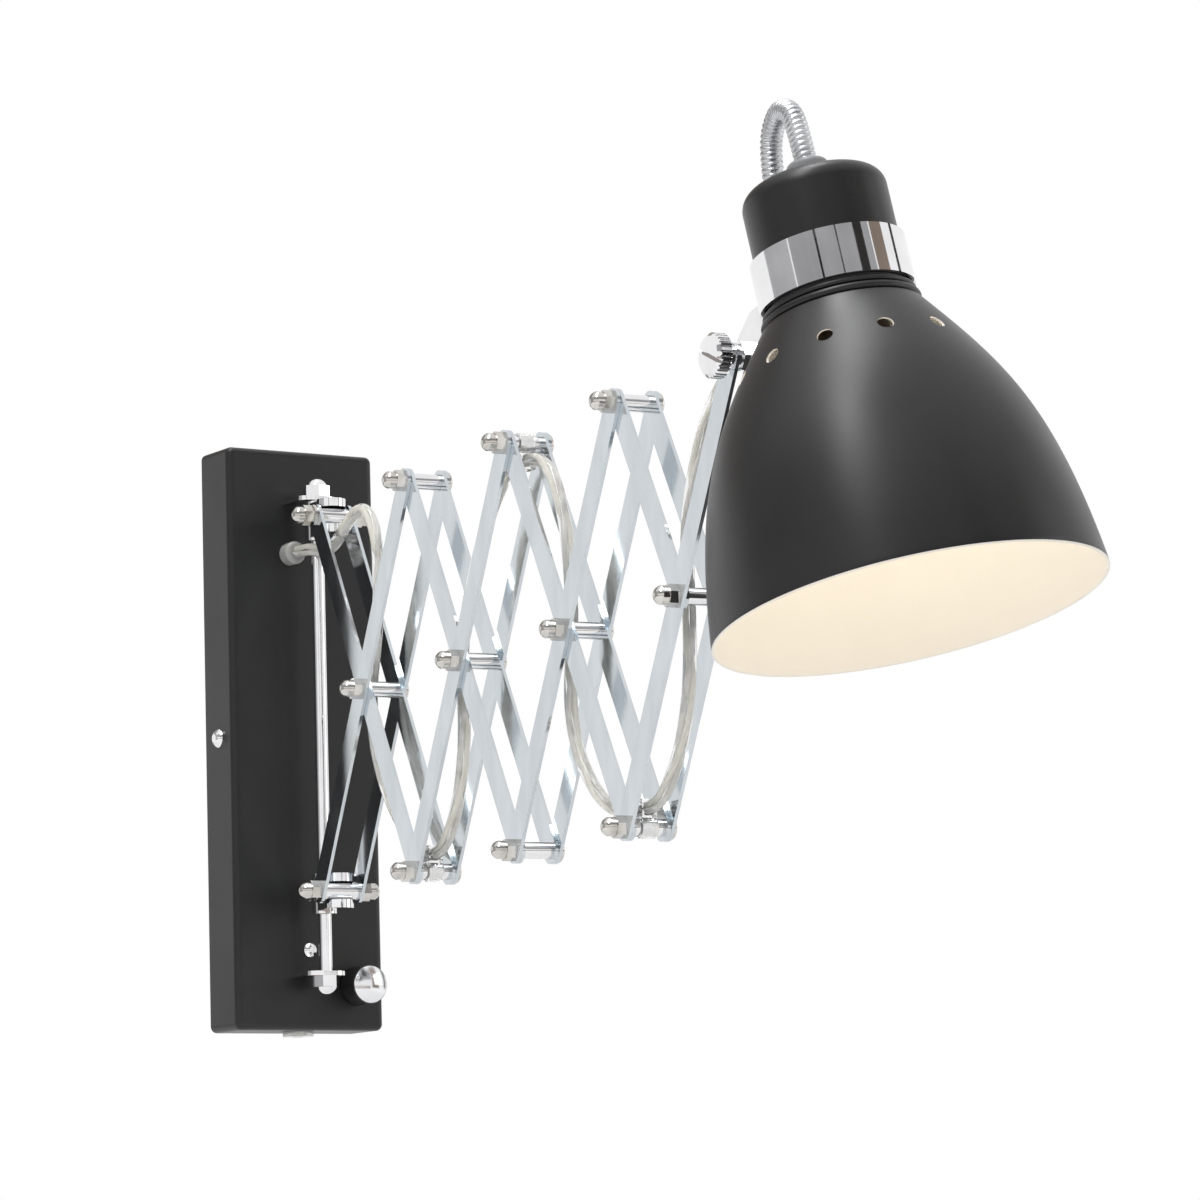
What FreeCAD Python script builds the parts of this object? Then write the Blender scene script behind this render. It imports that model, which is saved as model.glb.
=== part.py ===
import FreeCAD, Part
import Sketcher
import math
import os

from FreeCAD import Placement, Rotation, Vector

# Accordion wall lamp: a wall plate with a vertical rod, a scissor lattice of flat steel
# bars that swings on the rod and stretches out, and a tilting bell shade at its far end.
# Frame: origin on the wall behind the middle of the plate, +X right, -Y into the room, +Z up.
# The arm has its own axes from the rod: u outward, n across the bars, z up.
# All lengths are millimetres and all angles are degrees.

DIMENSIONS = [
    # wall plate
    ("cover_width", 75.0),
    ("cover_height", 264.0),
    ("cover_depth", 26.0),
    ("cover_wall", 1.2),
    ("cover_bend", 3.0),
    ("bracket_width", 60.0),
    ("bracket_height", 232.0),
    ("bracket_thickness", 2.0),
    ("bracket_ear_height", 18.0),
    ("bracket_ear_reach", 20.0),
    ("wall_hole_diameter", 5.0),
    ("wall_hole_spacing", 160.0),
    ("side_screw_head", 8.6),
    ("side_screw_shank", 4.0),
    ("side_screw_depth", 13.0),
    ("front_screw_head", 6.8),
    ("front_screw_shank", 3.5),
    ("front_screw_inset", 36.0),
    ("screw_length", 6.0),
    # rod and its lugs
    ("rod_diameter", 6.0),
    ("rod_stand", 14.2),
    ("lug_inset", 24.5),
    ("lug_width", 19.3),
    ("lug_thickness", 2.0),
    ("lug_reach", 19.0),
    ("lug_corner", 6.0),
    ("lug_foot", 12.0),
    ("rod_nut_across", 12.4),
    ("rod_nut_hex", 5.0),
    ("rod_nut_height", 8.5),
    # electrical pieces of the plate
    ("gland_diameter", 14.0),
    ("gland_drop", 2.3),
    ("gland_neck", 9.0),
    ("gland_nut_height", 4.0),
    ("outlet_inset", 48.0),
    ("outlet_diameter", 10.5),
    ("outlet_reach", 7.0),
    ("outlet_across", -6.8),
    ("terminal_width", 16.0),
    ("terminal_height", 18.0),
    ("terminal_depth", 11.0),
    ("knob_side_inset", 14.0),
    ("knob_end_inset", 20.0),
    ("knob_gap", 0.8),
    ("knob_diameter", 17.5),
    ("knob_length", 12.0),
    ("knob_cap_diameter", 16.8),
    ("knob_cap_rise", 1.8),
    ("dimmer_width", 19.0),
    ("dimmer_height", 22.0),
    ("dimmer_depth", 12.0),
    ("spindle_diameter", 6.0),
    # scissor lattice
    ("swing_angle", -4.85),
    ("pivot_reach", 15.7),
    ("pivot_drop", 10.3),
    ("bar_pitch", 195.34),
    ("bar_width", 11.0),
    ("bar_thickness", 1.5),
    ("carrier_spread", 0.78652),
    ("spacer_length", 13.7),
    ("spacer_diameter", 7.0),
    ("bolt_diameter", 5.0),
    ("bolt_clearance", 0.1),
    ("layer_gap", 0.05),
    ("nut_across", 9.2),
    ("nut_hex", 4.3),
    ("nut_dome", 7.5),
    ("nut_height", 9.6),
    ("bolt_head_diameter", 10.0),
    ("bolt_head_height", 1.8),
    ("washer_diameter", 10.0),
    # carriers on the rod
    ("carrier_height", 15.5),
    ("sleeve_diameter", 11.0),
    ("barrel_diameter", 13.0),
    ("carrier_waist", 9.5),
    ("cross_tube_diameter", 8.0),
    ("rod_clearance", 0.08),
    ("rod_washer_diameter", 11.0),
    ("rod_washer_height", 1.2),
    # cable along the arm
    ("cable_diameter", 5.5),
    ("clip_thickness", 1.0),
    ("clip_width", 7.0),
    # tilt joint
    ("ear_thickness", 3.0),
    ("ear_corner", 4.0),
    ("collar_across", 12.8),
    ("collar_gap", 0.1),
    ("thumb_diameter", 17.5),
    ("thumb_knurl", 6.0),
    ("thumb_face", 19.6),
    ("thumb_neck", 10.0),
    ("thumb_slot_width", 1.6),
    ("thumb_slot_depth", 2.0),
    ("thumb_notches", 28),
    # head
    ("head_reach", 58.2),
    ("head_rise", 28.9),
    ("head_tilt", 11.5),
    ("head_lean", 5.5),
    ("ring_diameter", 58.8),
    ("ring_height", 19.0),
    ("ring_wall", 1.4),
    ("cap_diameter", 54.8),
    ("cap_height", 28.0),
    ("cap_corner", 7.0),
    ("cap_wall", 1.5),
    ("neck_zone", 7.4),
    ("bead_diameter", 60.6),
    ("shade_diameter", 147.6),
    ("shade_drop", 140.0),
    ("shade_wall", 1.2),
    ("vent_diameter", 6.2),
    ("vent_height", 99.6),
    ("vent_count", 9),
    ("vent_start", 20.0),
    ("bushing_diameter", 15.8),
    ("bushing_height", 8.5),
    ("holder_diameter", 38.0),
    ("holder_height", 42.0),
    ("holder_gap", 3.0),
    ("socket_diameter", 27.4),
    ("socket_depth", 26.0),
    ("bulb_diameter", 60.0),
    ("bulb_base_diameter", 26.4),
    ("bulb_base_length", 25.0),
    ("bulb_length", 106.0),
    ("hose_diameter", 8.7),
    ("hose_bore", 6.0),
    ("hose_groove", 0.75),
    ("rib_pitch", 2.1),
]

doc = FreeCAD.newDocument("AccordionWallLamp")
sheet = doc.addObject("Spreadsheet::Sheet", "Sizes")
for row, (alias, number) in enumerate(DIMENSIONS, start=1):
    sheet.set("A%d" % row, alias)
    sheet.set("B%d" % row, str(number))
    sheet.setAlias("B%d" % row, alias)
doc.recompute()


class Size:
    """A size that knows its number and its formula over the sheet."""

    def __init__(self, formula, number):
        self.formula = formula
        self.number = number

    def _join(self, sign, other, number):
        text = other.formula if isinstance(other, Size) else "%.6f" % other
        return Size("(%s %s %s)" % (self.formula, sign, text), number)

    def __add__(self, other):
        return self._join("+", other, self.number + num(other))

    def __sub__(self, other):
        return self._join("-", other, self.number - num(other))

    def __mul__(self, other):
        return self._join("*", other, self.number * num(other))

    def __truediv__(self, other):
        return self._join("/", other, self.number / num(other))

    def __neg__(self):
        return self * -1.0

    def __radd__(self, other):
        return self + other

    def __rsub__(self, other):
        return -self + other

    def __rmul__(self, other):
        return self * other


def num(value):
    """The plain number behind a size or a number."""
    return value.number if isinstance(value, Size) else float(value)


class Sizes:
    """Every alias of the sheet as a Size."""


for alias, _ in DIMENSIONS:
    setattr(Sizes, alias, Size("Sizes.%s" % alias, float(sheet.get(alias))))
S = Sizes

# places that follow the cover's edges
S.lug_height = S.cover_height / 2.0 - S.lug_inset
S.outlet_height = S.cover_height / 2.0 - S.outlet_inset
S.front_screw_height = S.front_screw_inset - S.cover_height / 2.0
S.knob_across = S.cover_width / 2.0 - S.knob_side_inset
S.knob_height = S.knob_end_inset - S.cover_height / 2.0
S.pivot_height = S.lug_height - S.pivot_drop

NODES = []


def bind(thing, **sizes):
    """Binds each named property to its size's formula."""
    for name, value in sizes.items():
        setattr(thing, name, num(value))
        if isinstance(value, Size):
            thing.setExpression(name, value.formula)
    return thing


def shift(thing, x=0.0, y=0.0, z=0.0, turn=None):
    """Sets an object's place, with each coordinate bound to its size."""
    thing.Placement = Placement(Vector(num(x), num(y), num(z)), turn or Rotation())
    for axis, value in (("x", x), ("y", y), ("z", z)):
        if isinstance(value, Size):
            thing.setExpression("Placement.Base.%s" % axis, value.formula)
    return thing


ALONG_Y = Rotation(Vector(1, 0, 0), 90)
ALONG_X = Rotation(Vector(0, 1, 0), 90)


def box(length, width, height, x=0.0, y=0.0, z=0.0):
    """A block centred in X and Y on x and y, standing on z."""
    thing = bind(doc.addObject("Part::Box", "Block"), Length=length, Width=width, Height=height)
    return shift(thing, x - length / 2.0, y - width / 2.0, z)


def rod(diameter, height, x=0.0, y=0.0, z=0.0, turn=None):
    """A cylinder from its base point; it rises along Z unless turned."""
    thing = bind(doc.addObject("Part::Cylinder", "Round"), Radius=diameter / 2.0, Height=height)
    return shift(thing, x, y, z, turn)


def hexagon(across, height, x=0.0, y=0.0, z=0.0):
    """A hexagonal prism, sized across its corners, standing on z."""
    thing = doc.addObject("Part::Prism", "Hex")
    thing.Polygon = 6
    bind(thing, Circumradius=across / 2.0, Height=height)
    return shift(thing, x, y, z)


def ball(diameter, x=0.0, y=0.0, z=0.0):
    """A sphere about its centre."""
    return shift(bind(doc.addObject("Part::Sphere", "Ball"), Radius=diameter / 2.0), x, y, z)


def join(*things):
    """One solid from overlapping or touching ones."""
    union = doc.addObject("Part::MultiFuse", "Union")
    union.Shapes = list(things)
    union.Refine = True
    return union


def cut(base, *tools):
    """The base less every tool."""
    for tool in tools:
        trimmed = doc.addObject("Part::Cut", "Trim")
        trimmed.Base = base
        trimmed.Tool = tool
        base = trimmed
    return base


def overlap(base, tool):
    """What two solids share."""
    shared = doc.addObject("Part::Common", "Shared")
    shared.Base = base
    shared.Tool = tool
    return shared


def rounded(base, radius, chosen):
    """The base with a fillet on each edge that the rule chooses."""
    doc.recompute()
    round_off = doc.addObject("Part::Fillet", "Rounded")
    round_off.Base = base
    edges = enumerate(base.Shape.Edges, start=1)
    round_off.Edges = [(index, num(radius), num(radius)) for index, edge in edges if chosen(edge)]
    return round_off


def ends(edge):
    """The two end points of an edge."""
    return [vertex.Point for vertex in edge.Vertexes]


def sketched(name, role):
    """A body with one sketch on one of its own origin planes."""
    body = doc.addObject("PartDesign::Body", name)
    plane = [item for item in body.Origin.OriginFeatures if item.Role == role][0]
    sketch = body.newObject("Sketcher::SketchObject", name + "Sketch")
    sketch.AttachmentSupport = [(plane, "")]
    sketch.MapMode = "FlatFace"
    return body, sketch


def pin_point(sketch, index, end, x, y):
    """Ties a sketch point to its two coordinates."""
    for kind, value in (("DistanceX", x), ("DistanceY", y)):
        which = sketch.addConstraint(Sketcher.Constraint(kind, -1, 1, index, end, num(value)))
        if isinstance(value, Size):
            sketch.setExpression("Constraints[%d]" % which, value.formula)


def circle(sketch, diameter, x, y):
    """A circle tied to its centre and its radius."""
    index = sketch.addGeometry(Part.Circle(Vector(num(x), num(y), 0), Vector(0, 0, 1),
                                           num(diameter) / 2.0), False)
    pin_point(sketch, index, 3, x, y)
    which = sketch.addConstraint(Sketcher.Constraint("Radius", index, num(diameter) / 2.0))
    sketch.setExpression("Constraints[%d]" % which, (diameter / 2.0).formula)


def stadium(sketch, pitch, width):
    """The outline of a bar with round ends, from the origin along X."""
    half = width / 2.0
    top = sketch.addGeometry(Part.LineSegment(Vector(0, num(half), 0),
                                              Vector(num(pitch), num(half), 0)), False)
    low = sketch.addGeometry(Part.LineSegment(Vector(num(pitch), -num(half), 0),
                                              Vector(0, -num(half), 0)), False)
    far = sketch.addGeometry(Part.Arc(Vector(num(pitch), num(half), 0),
                                      Vector(num(pitch) + num(half), 0, 0),
                                      Vector(num(pitch), -num(half), 0)), False)
    near = sketch.addGeometry(Part.Arc(Vector(0, -num(half), 0), Vector(-num(half), 0, 0),
                                       Vector(0, num(half), 0)), False)
    pin_point(sketch, top, 1, 0.0, half)
    pin_point(sketch, top, 2, pitch, half)
    pin_point(sketch, low, 1, pitch, -half)
    pin_point(sketch, low, 2, 0.0, -half)
    for arc, centre_x in ((far, pitch), (near, 0.0)):
        which = sketch.addConstraint(Sketcher.Constraint("Radius", arc, num(half)))
        sketch.setExpression("Constraints[%d]" % which, half.formula)


def pad(body, sketch, length):
    """Raises a sketch by a length."""
    raised = body.newObject("PartDesign::Pad", body.Name + "Pad")
    raised.Profile = sketch
    bind(raised, Length=length)
    body.Tip = raised
    return body


def node(name, thing, place=None):
    """Names a finished piece, and moves it to its place."""
    thing.Label = name
    if place is not None:
        thing.Placement = place
    NODES.append(thing)
    return thing


def gathered(name, copies):
    """One named group of separate solids, each a placed copy of a master piece."""
    doc.recompute()
    solids = []
    for master, place in copies:
        solid = master.Shape.copy()
        solid.Placement = place.multiply(solid.Placement)
        solids.append(solid)
    thing = doc.addObject("Part::Feature", name)
    thing.Shape = Part.makeCompound(solids)
    return node(name, thing)


# ---------------------------------------------------------------- places
ROD_Y = -(S.cover_depth + S.rod_stand)
ARM = Placement(Vector(0, num(ROD_Y), 0), Rotation(Vector(0, 0, 1), num(S.swing_angle) - 90.0))
HALF_BAR = num(S.bar_pitch) / 2.0
# at rest the two carriers stand apart by this share of the way between the lugs
FALL = num(S.carrier_spread) * num(S.lug_height)
RUN = math.sqrt(HALF_BAR ** 2 - FALL ** 2)
TOP = num(S.pivot_height)
CELLS = 4


def upper_pivot(number):
    """The place of upper pivot 1 to 5, as (u, z)."""
    return num(S.pivot_reach) + 2 * RUN * (number - 1), TOP


def lower_pivot(number):
    """The place of lower pivot 1 to 4."""
    return num(S.pivot_reach) + 2 * RUN * (number - 1), TOP - 2 * FALL


def middle_pivot(number):
    """The place of the crossing pivot of cell 1 to 4."""
    return num(S.pivot_reach) + RUN * (2 * number - 1), TOP - FALL


def in_arm(u, n, z, turn=None):
    """A place in the arm's own axes."""
    return ARM.multiply(Placement(Vector(u, n, z), turn or Rotation()))


# the bars lie in two layers on each side of the middle plane
INNER = S.spacer_length / 2.0 + S.layer_gap
OUTER = INNER + S.bar_thickness + S.layer_gap
STACK = OUTER + S.bar_thickness + S.layer_gap
HOLE = S.bolt_diameter + S.bolt_clearance * 2.0


# ---------------------------------------------------------------- wall plate
def wall_cover():
    """The folded steel cover: a shallow box, open to the wall."""
    outer = box(S.cover_width, S.cover_depth, S.cover_height, 0.0, -(S.cover_depth / 2.0),
                -(S.cover_height / 2.0))
    shell = rounded(outer, S.cover_bend, lambda edge: not all(abs(p.y) < 0.01 for p in ends(edge)))
    inner = box(S.cover_width - S.cover_wall * 2.0, S.cover_depth - S.cover_wall,
                S.cover_height - S.cover_wall * 2.0, 0.0,
                -((S.cover_depth - S.cover_wall) / 2.0), -(S.cover_height / 2.0) + S.cover_wall)
    cavity = rounded(inner, S.cover_bend - S.cover_wall,
                     lambda edge: not all(abs(p.y) < 0.01 for p in ends(edge)))
    through = S.cover_wall * 4.0
    front = -S.cover_depth + S.cover_wall * 2.0
    tools = [cavity]
    for side in (1.0, -1.0):
        tools.append(box(S.lug_width, through, S.lug_thickness, 0.0, -S.cover_depth,
                         S.lug_height * side - S.lug_thickness / 2.0))
    tools.append(rod(S.spindle_diameter + 1.0, through, S.knob_across, front, S.knob_height,
                     ALONG_Y))
    tools.append(rod(S.front_screw_shank + 0.2, through, 0.0, front, S.front_screw_height,
                     ALONG_Y))
    tools.append(rod(S.gland_neck + 0.2, through, S.outlet_across, front, S.outlet_height, ALONG_Y))
    tools.append(rod(S.side_screw_shank + 0.2, S.cover_width + 2.0, -(S.cover_width / 2.0) - 1.0,
                     -S.side_screw_depth, 0.0, ALONG_X))
    tools.append(rod(S.gland_neck + 0.2, through, 0.0, -(S.cover_depth / 2.0),
                     -(S.cover_height / 2.0) - S.cover_wall))
    return node("wall_cover", cut(shell, *tools))


def wall_bracket():
    """The strap that screws to the wall, with an ear on each side for the cover."""
    strap = box(S.bracket_width, S.bracket_thickness, S.bracket_height, 0.0,
                -(S.bracket_thickness / 2.0), -(S.bracket_height / 2.0))
    inside = S.cover_width / 2.0 - S.cover_wall
    pieces = [strap]
    for side in (1.0, -1.0):
        wing = box(inside, S.bracket_thickness, S.bracket_ear_height, inside / 2.0 * side,
                   -(S.bracket_thickness / 2.0), -(S.bracket_ear_height / 2.0))
        ear = box(S.bracket_thickness, S.bracket_ear_reach, S.bracket_ear_height,
                  (inside - S.bracket_thickness / 2.0) * side, -(S.bracket_ear_reach / 2.0),
                  -(S.bracket_ear_height / 2.0))
        pieces += [wing, ear]
    tools = [rod(S.side_screw_shank + 0.1, S.cover_width, -(S.cover_width / 2.0),
                 -S.side_screw_depth, 0.0, ALONG_X)]
    for side in (1.0, -1.0):
        tools.append(rod(S.wall_hole_diameter, S.bracket_thickness * 3.0, 0.0,
                         S.bracket_thickness, S.wall_hole_spacing / 2.0 * side, ALONG_Y))
    return node("wall_bracket", cut(join(*pieces), *tools))


def pan_screw(head, shank):
    """A pan-head screw that points along -Z from the underside of its head at the origin."""
    dome = overlap(rod(head, head / 3.0), ball(head * 1.15, 0.0, 0.0, -(head * 0.2)))
    return join(dome, rod(shank, S.screw_length, 0.0, 0.0, -S.screw_length))


def cover_screws():
    """One screw in each side of the cover, and one in its front."""
    side = pan_screw(S.side_screw_head, S.side_screw_shank)
    front = pan_screw(S.front_screw_head, S.front_screw_shank)
    half = num(S.cover_width) / 2.0
    depth = -num(S.side_screw_depth)
    return gathered("cover_screws", [
        (side, Placement(Vector(half, depth, 0), Rotation(Vector(0, 1, 0), 90))),
        (side, Placement(Vector(-half, depth, 0), Rotation(Vector(0, 1, 0), -90))),
        (front, Placement(Vector(0, -num(S.cover_depth), num(S.front_screw_height)), ALONG_Y)),
    ])


def rod_lugs():
    """Two bent tongues that come out of the cover and hold the rod."""
    tongue = box(S.lug_width, S.lug_reach + S.cover_wall, S.lug_thickness, 0.0,
                 -((S.lug_reach - S.cover_wall) / 2.0), -(S.lug_thickness / 2.0))
    front = -num(S.lug_reach) + 0.01
    plate = rounded(tongue, S.lug_corner,
                    lambda edge: all(p.y < front for p in ends(edge))
                    and abs(ends(edge)[0].x - ends(edge)[1].x) < 0.01)
    foot = box(S.lug_width, S.lug_thickness, S.lug_foot, 0.0,
               S.cover_wall + S.lug_thickness / 2.0, -(S.lug_thickness / 2.0))
    hole = rod(S.rod_diameter + S.rod_clearance * 2.0, S.lug_thickness * 4.0, 0.0, -S.rod_stand,
               -(S.lug_thickness * 2.0))
    lug = cut(join(plate, foot), hole)
    depth = -num(S.cover_depth)
    height = num(S.lug_height)
    flip = Rotation(Vector(0, 1, 0), 180)
    return gathered("rod_lugs", [(lug, Placement(Vector(0, depth, height), Rotation())),
                                 (lug, Placement(Vector(0, depth, -height), flip))])


def pivot_rod():
    """The upright rod, from inside one cap nut to inside the other."""
    reach = S.lug_height + S.lug_thickness / 2.0 + S.rod_nut_hex
    return node("pivot_rod", rod(S.rod_diameter, reach * 2.0, 0.0, ROD_Y, -reach))


def domed_nut(across, hex_height, height, dome, bore, depth):
    """A hexagon cap nut that stands on its open face."""
    skirt = hexagon(across, hex_height)
    crown = overlap(rod(dome, height), ball(dome * 1.08, 0.0, 0.0, height - dome * 0.54))
    barrel = rod(dome, height - dome / 2.0)
    return cut(join(skirt, barrel, crown), rod(bore, depth))


def rod_cap_nuts():
    """The cap nuts that hold the rod above the upper lug and below the lower one."""
    nut = domed_nut(S.rod_nut_across, S.rod_nut_hex, S.rod_nut_height, S.rod_nut_across * 0.8,
                    S.rod_diameter + S.rod_clearance * 2.0, S.rod_nut_hex + 0.1)
    seat = num(S.lug_height) + num(S.lug_thickness) / 2.0
    turn = Rotation(Vector(0, 0, 1), 12)
    flip = Rotation(Vector(1, 0, 0), 180).multiply(turn)
    return gathered("rod_cap_nuts", [(nut, Placement(Vector(0, num(ROD_Y), seat), turn)),
                                     (nut, Placement(Vector(0, num(ROD_Y), -seat), flip))])


def bottom_gland():
    """The translucent plug in the cover's bottom, where the mains cable could come in."""
    bottom = -(S.cover_height / 2.0)
    middle = -(S.cover_depth / 2.0)
    flange = rod(S.gland_diameter, S.gland_drop, 0.0, middle, bottom - S.gland_drop)
    neck = rod(S.gland_neck, S.cover_wall + S.gland_nut_height, 0.0, middle, bottom)
    nut = rod(S.gland_diameter, S.gland_nut_height, 0.0, middle, bottom + S.cover_wall)
    bore = rod(S.cable_diameter, S.gland_nut_height * 4.0, 0.0, middle,
               bottom - S.gland_nut_height)
    return node("cable_gland", cut(join(flange, neck, nut), bore))


def outlet_gland():
    """The clear grip where the lamp's cable leaves the front of the cover."""
    nose = rod(S.outlet_diameter, S.outlet_reach, S.outlet_across, -S.cover_depth,
               S.outlet_height, ALONG_Y)
    front = -num(S.cover_depth) - num(S.outlet_reach) + 0.01
    soft = rounded(nose, 2.0, lambda edge: edge.BoundBox.YMax < front)
    neck = rod(S.gland_neck, S.cover_wall + S.gland_nut_height, S.outlet_across,
               -S.cover_depth + S.cover_wall + S.gland_nut_height, S.outlet_height, ALONG_Y)
    nut = rod(S.gland_diameter, S.gland_nut_height, S.outlet_across,
              -S.cover_depth + S.cover_wall + S.gland_nut_height, S.outlet_height, ALONG_Y)
    return node("cable_outlet_gland", join(soft, neck, nut))


def terminal_block():
    """The mains terminal block, held behind the front by the front screw."""
    back = -S.cover_depth + S.cover_wall + S.terminal_depth / 2.0
    low = S.front_screw_height - S.terminal_height / 2.0
    body = box(S.terminal_width, S.terminal_depth, S.terminal_height, 0.0, back, low)
    tools = [rod(S.front_screw_shank + 0.1, S.cover_depth, 0.0, 0.0, S.front_screw_height,
                 ALONG_Y)]
    for side in (-1.0, 1.0):
        tools.append(rod(3.0, S.terminal_height * 2.0, S.terminal_width / 3.2 * side, back,
                         low - 2.0))
    return node("terminal_block", cut(body, *tools))


def dimmer_body():
    """The rotary dimmer behind the knob, with its threaded bush in the cover."""
    back = -S.cover_depth + S.cover_wall
    case = box(S.dimmer_width, S.dimmer_depth, S.dimmer_height, S.knob_across,
               back + S.dimmer_depth / 2.0, S.knob_height - S.dimmer_height / 2.0)
    bush = rod(S.spindle_diameter + 0.8, S.cover_wall + 0.5, S.knob_across,
               back, S.knob_height, ALONG_Y)
    bore = rod(S.spindle_diameter * 0.667 + 0.12, S.dimmer_depth, S.knob_across,
               back + 4.0, S.knob_height, ALONG_Y)
    return node("dimmer_body", cut(join(case, bush), bore))


def dimmer_knob():
    """The turning knob with its spindle."""
    grip = rod(S.knob_diameter, S.knob_length, S.knob_across, -S.cover_depth - S.knob_gap,
               S.knob_height, ALONG_Y)
    soft = rounded(grip, 0.8, lambda edge: len(edge.Vertexes) == 1)
    spindle = rod(S.spindle_diameter * 0.667, S.cover_wall + S.knob_gap + 3.0, S.knob_across,
                  -S.cover_depth + S.cover_wall + 2.5, S.knob_height, ALONG_Y)
    return node("dimmer_knob", join(soft, spindle))


def knob_cap():
    """The bright domed face of the knob."""
    face = -S.cover_depth - S.knob_gap - S.knob_length
    disc = rod(S.knob_cap_diameter, S.knob_cap_rise, S.knob_across, face, S.knob_height, ALONG_Y)
    dome = ball(S.knob_cap_diameter * 2.4, S.knob_across,
                face - S.knob_cap_rise + S.knob_cap_diameter * 1.2, S.knob_height)
    return node("knob_cap", overlap(disc, dome))


# ---------------------------------------------------------------- carriers
def carrier():
    """A block that turns on the rod: a sleeve behind, a slotted barrel in front."""
    low = -(S.carrier_height / 2.0)
    sleeve = rod(S.sleeve_diameter, S.carrier_height, 0.0, 0.0, low)
    barrel = rod(S.barrel_diameter, S.carrier_height, S.pivot_reach, 0.0, low)
    web = box(S.pivot_reach, S.carrier_waist, S.carrier_height, S.pivot_reach / 2.0, 0.0, low)
    bore = rod(S.rod_diameter + S.rod_clearance * 2.0, S.carrier_height * 2.0, 0.0, 0.0,
               low * 2.0)
    seat = rod(S.cross_tube_diameter + 0.04, S.barrel_diameter * 2.0, S.pivot_reach,
               S.barrel_diameter, 0.0, ALONG_Y)
    mouth = box(S.barrel_diameter, S.barrel_diameter * 2.0, S.cross_tube_diameter + 0.04,
                S.pivot_reach + S.barrel_diameter / 2.0, 0.0,
                -(S.cross_tube_diameter / 2.0) - 0.02)
    return cut(join(sleeve, barrel, web), bore, seat, mouth)


def tube(diameter, length):
    """A spacer tube across the arm, along n and centred on it."""
    whole = rod(diameter, length, 0.0, length / 2.0, 0.0, ALONG_Y)
    return cut(whole, rod(HOLE, length * 2.0, 0.0, length, 0.0, ALONG_Y))


def carriers():
    """Both carriers with their cross tubes, studs, nuts and rod washers."""
    block = carrier()
    upper_tube = tube(S.cross_tube_diameter, S.spacer_length)
    lower_tube = tube(S.cross_tube_diameter, (OUTER - S.layer_gap) * 2.0)
    ring = cut(rod(S.rod_washer_diameter, S.rod_washer_height),
               rod(S.rod_diameter + S.rod_clearance * 2.0, S.rod_washer_height * 3.0, 0.0, 0.0,
                   -S.rod_washer_height))
    stud = rod(S.bolt_diameter, STACK * 2.0 + S.nut_hex * 1.6, 0.0, STACK + S.nut_hex * 0.8, 0.0,
               ALONG_Y)
    filler = cut(rod(S.washer_diameter, S.bar_thickness, 0.0, S.bar_thickness / 2.0, 0.0, ALONG_Y),
                 rod(HOLE, S.washer_diameter, 0.0, S.washer_diameter / 2.0, 0.0, ALONG_Y))
    half = num(S.carrier_height) / 2.0
    wash = num(S.rod_washer_height)
    for name, centre, cross_tube in (("upper", upper_pivot(1), upper_tube),
                                     ("lower", lower_pivot(1), lower_tube)):
        u, z = centre
        gathered(name + "_carrier", [(block, in_arm(0, 0, z))])
        gathered(name + "_carrier_tube", [(cross_tube, in_arm(u, 0, z))])
        stack = [(stud, in_arm(u, 0, z)), (ACORN, nut_place(u, z, 1)), (ACORN, nut_place(u, z, -1))]
        if name == "upper":
            middle = num(OUTER) + num(S.bar_thickness) / 2.0
            stack += [(filler, in_arm(u, middle, z)), (filler, in_arm(u, -middle, z))]
        gathered(name + "_carrier_bolt", stack)
        gathered(name + "_rod_washers", [(ring, in_arm(0, 0, z - half - wash - 0.02)),
                                         (ring, in_arm(0, 0, z + half + 0.02))])


def nut_place(u, z, side):
    """The place of an acorn nut outside the bars, on the +n side or the -n side."""
    turn = Rotation(Vector(1, 0, 0), -90 * side)
    return in_arm(u, side * num(STACK), z, turn.multiply(Rotation(Vector(0, 0, 1), 15)))


# ---------------------------------------------------------------- lattice
def bar(half=False):
    """One flat bar from its first hole along X, lying on the XY plane."""
    body, sketch = sketched("HalfBar" if half else "Bar", "XY_Plane")
    length = S.bar_pitch / 2.0 if half else S.bar_pitch
    stadium(sketch, length, S.bar_width)
    circle(sketch, HOLE, 0.0, 0.0)
    circle(sketch, HOLE, length, 0.0)
    if not half:
        circle(sketch, HOLE, length / 2.0, 0.0)
    return pad(body, sketch, S.bar_thickness)


def bar_pair(name, master, start, finish, layer):
    """The near and the far bar between two pivots, in one layer of the stack."""
    slope = math.degrees(math.atan2(finish[1] - start[1], finish[0] - start[0]))
    flat = Rotation(Vector(0, 1, 0), -slope).multiply(Rotation(Vector(1, 0, 0), 90))
    thick = num(S.bar_thickness)
    far = in_arm(start[0], num(layer) + thick, start[1], flat)
    near = in_arm(start[0], -num(layer), start[1], flat)
    gathered(name, [(master, near), (master, far)])


def lattice():
    """The eight bar pairs, and the spacers and bolts at their crossings."""
    whole = bar()
    half = bar(half=True)
    for number in range(1, CELLS + 1):
        inner_first = number % 2 == 1
        start = upper_pivot(number) if inner_first else lower_pivot(number)
        finish = lower_pivot(number + 1) if inner_first else upper_pivot(number + 1)
        layer = INNER if inner_first else OUTER
        bar_pair("spine_bars_%d" % number, whole, start, finish, layer)
        cross_start = lower_pivot(number) if inner_first else upper_pivot(number)
        cross_finish = upper_pivot(number + 1) if inner_first else lower_pivot(number + 1)
        cross_layer = OUTER if inner_first else INNER
        if number < CELLS:
            bar_pair("cross_bars_%d" % number, whole, cross_start, cross_finish, cross_layer)
        else:
            bar_pair("end_half_bars", half, cross_start, middle_pivot(number), cross_layer)


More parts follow.
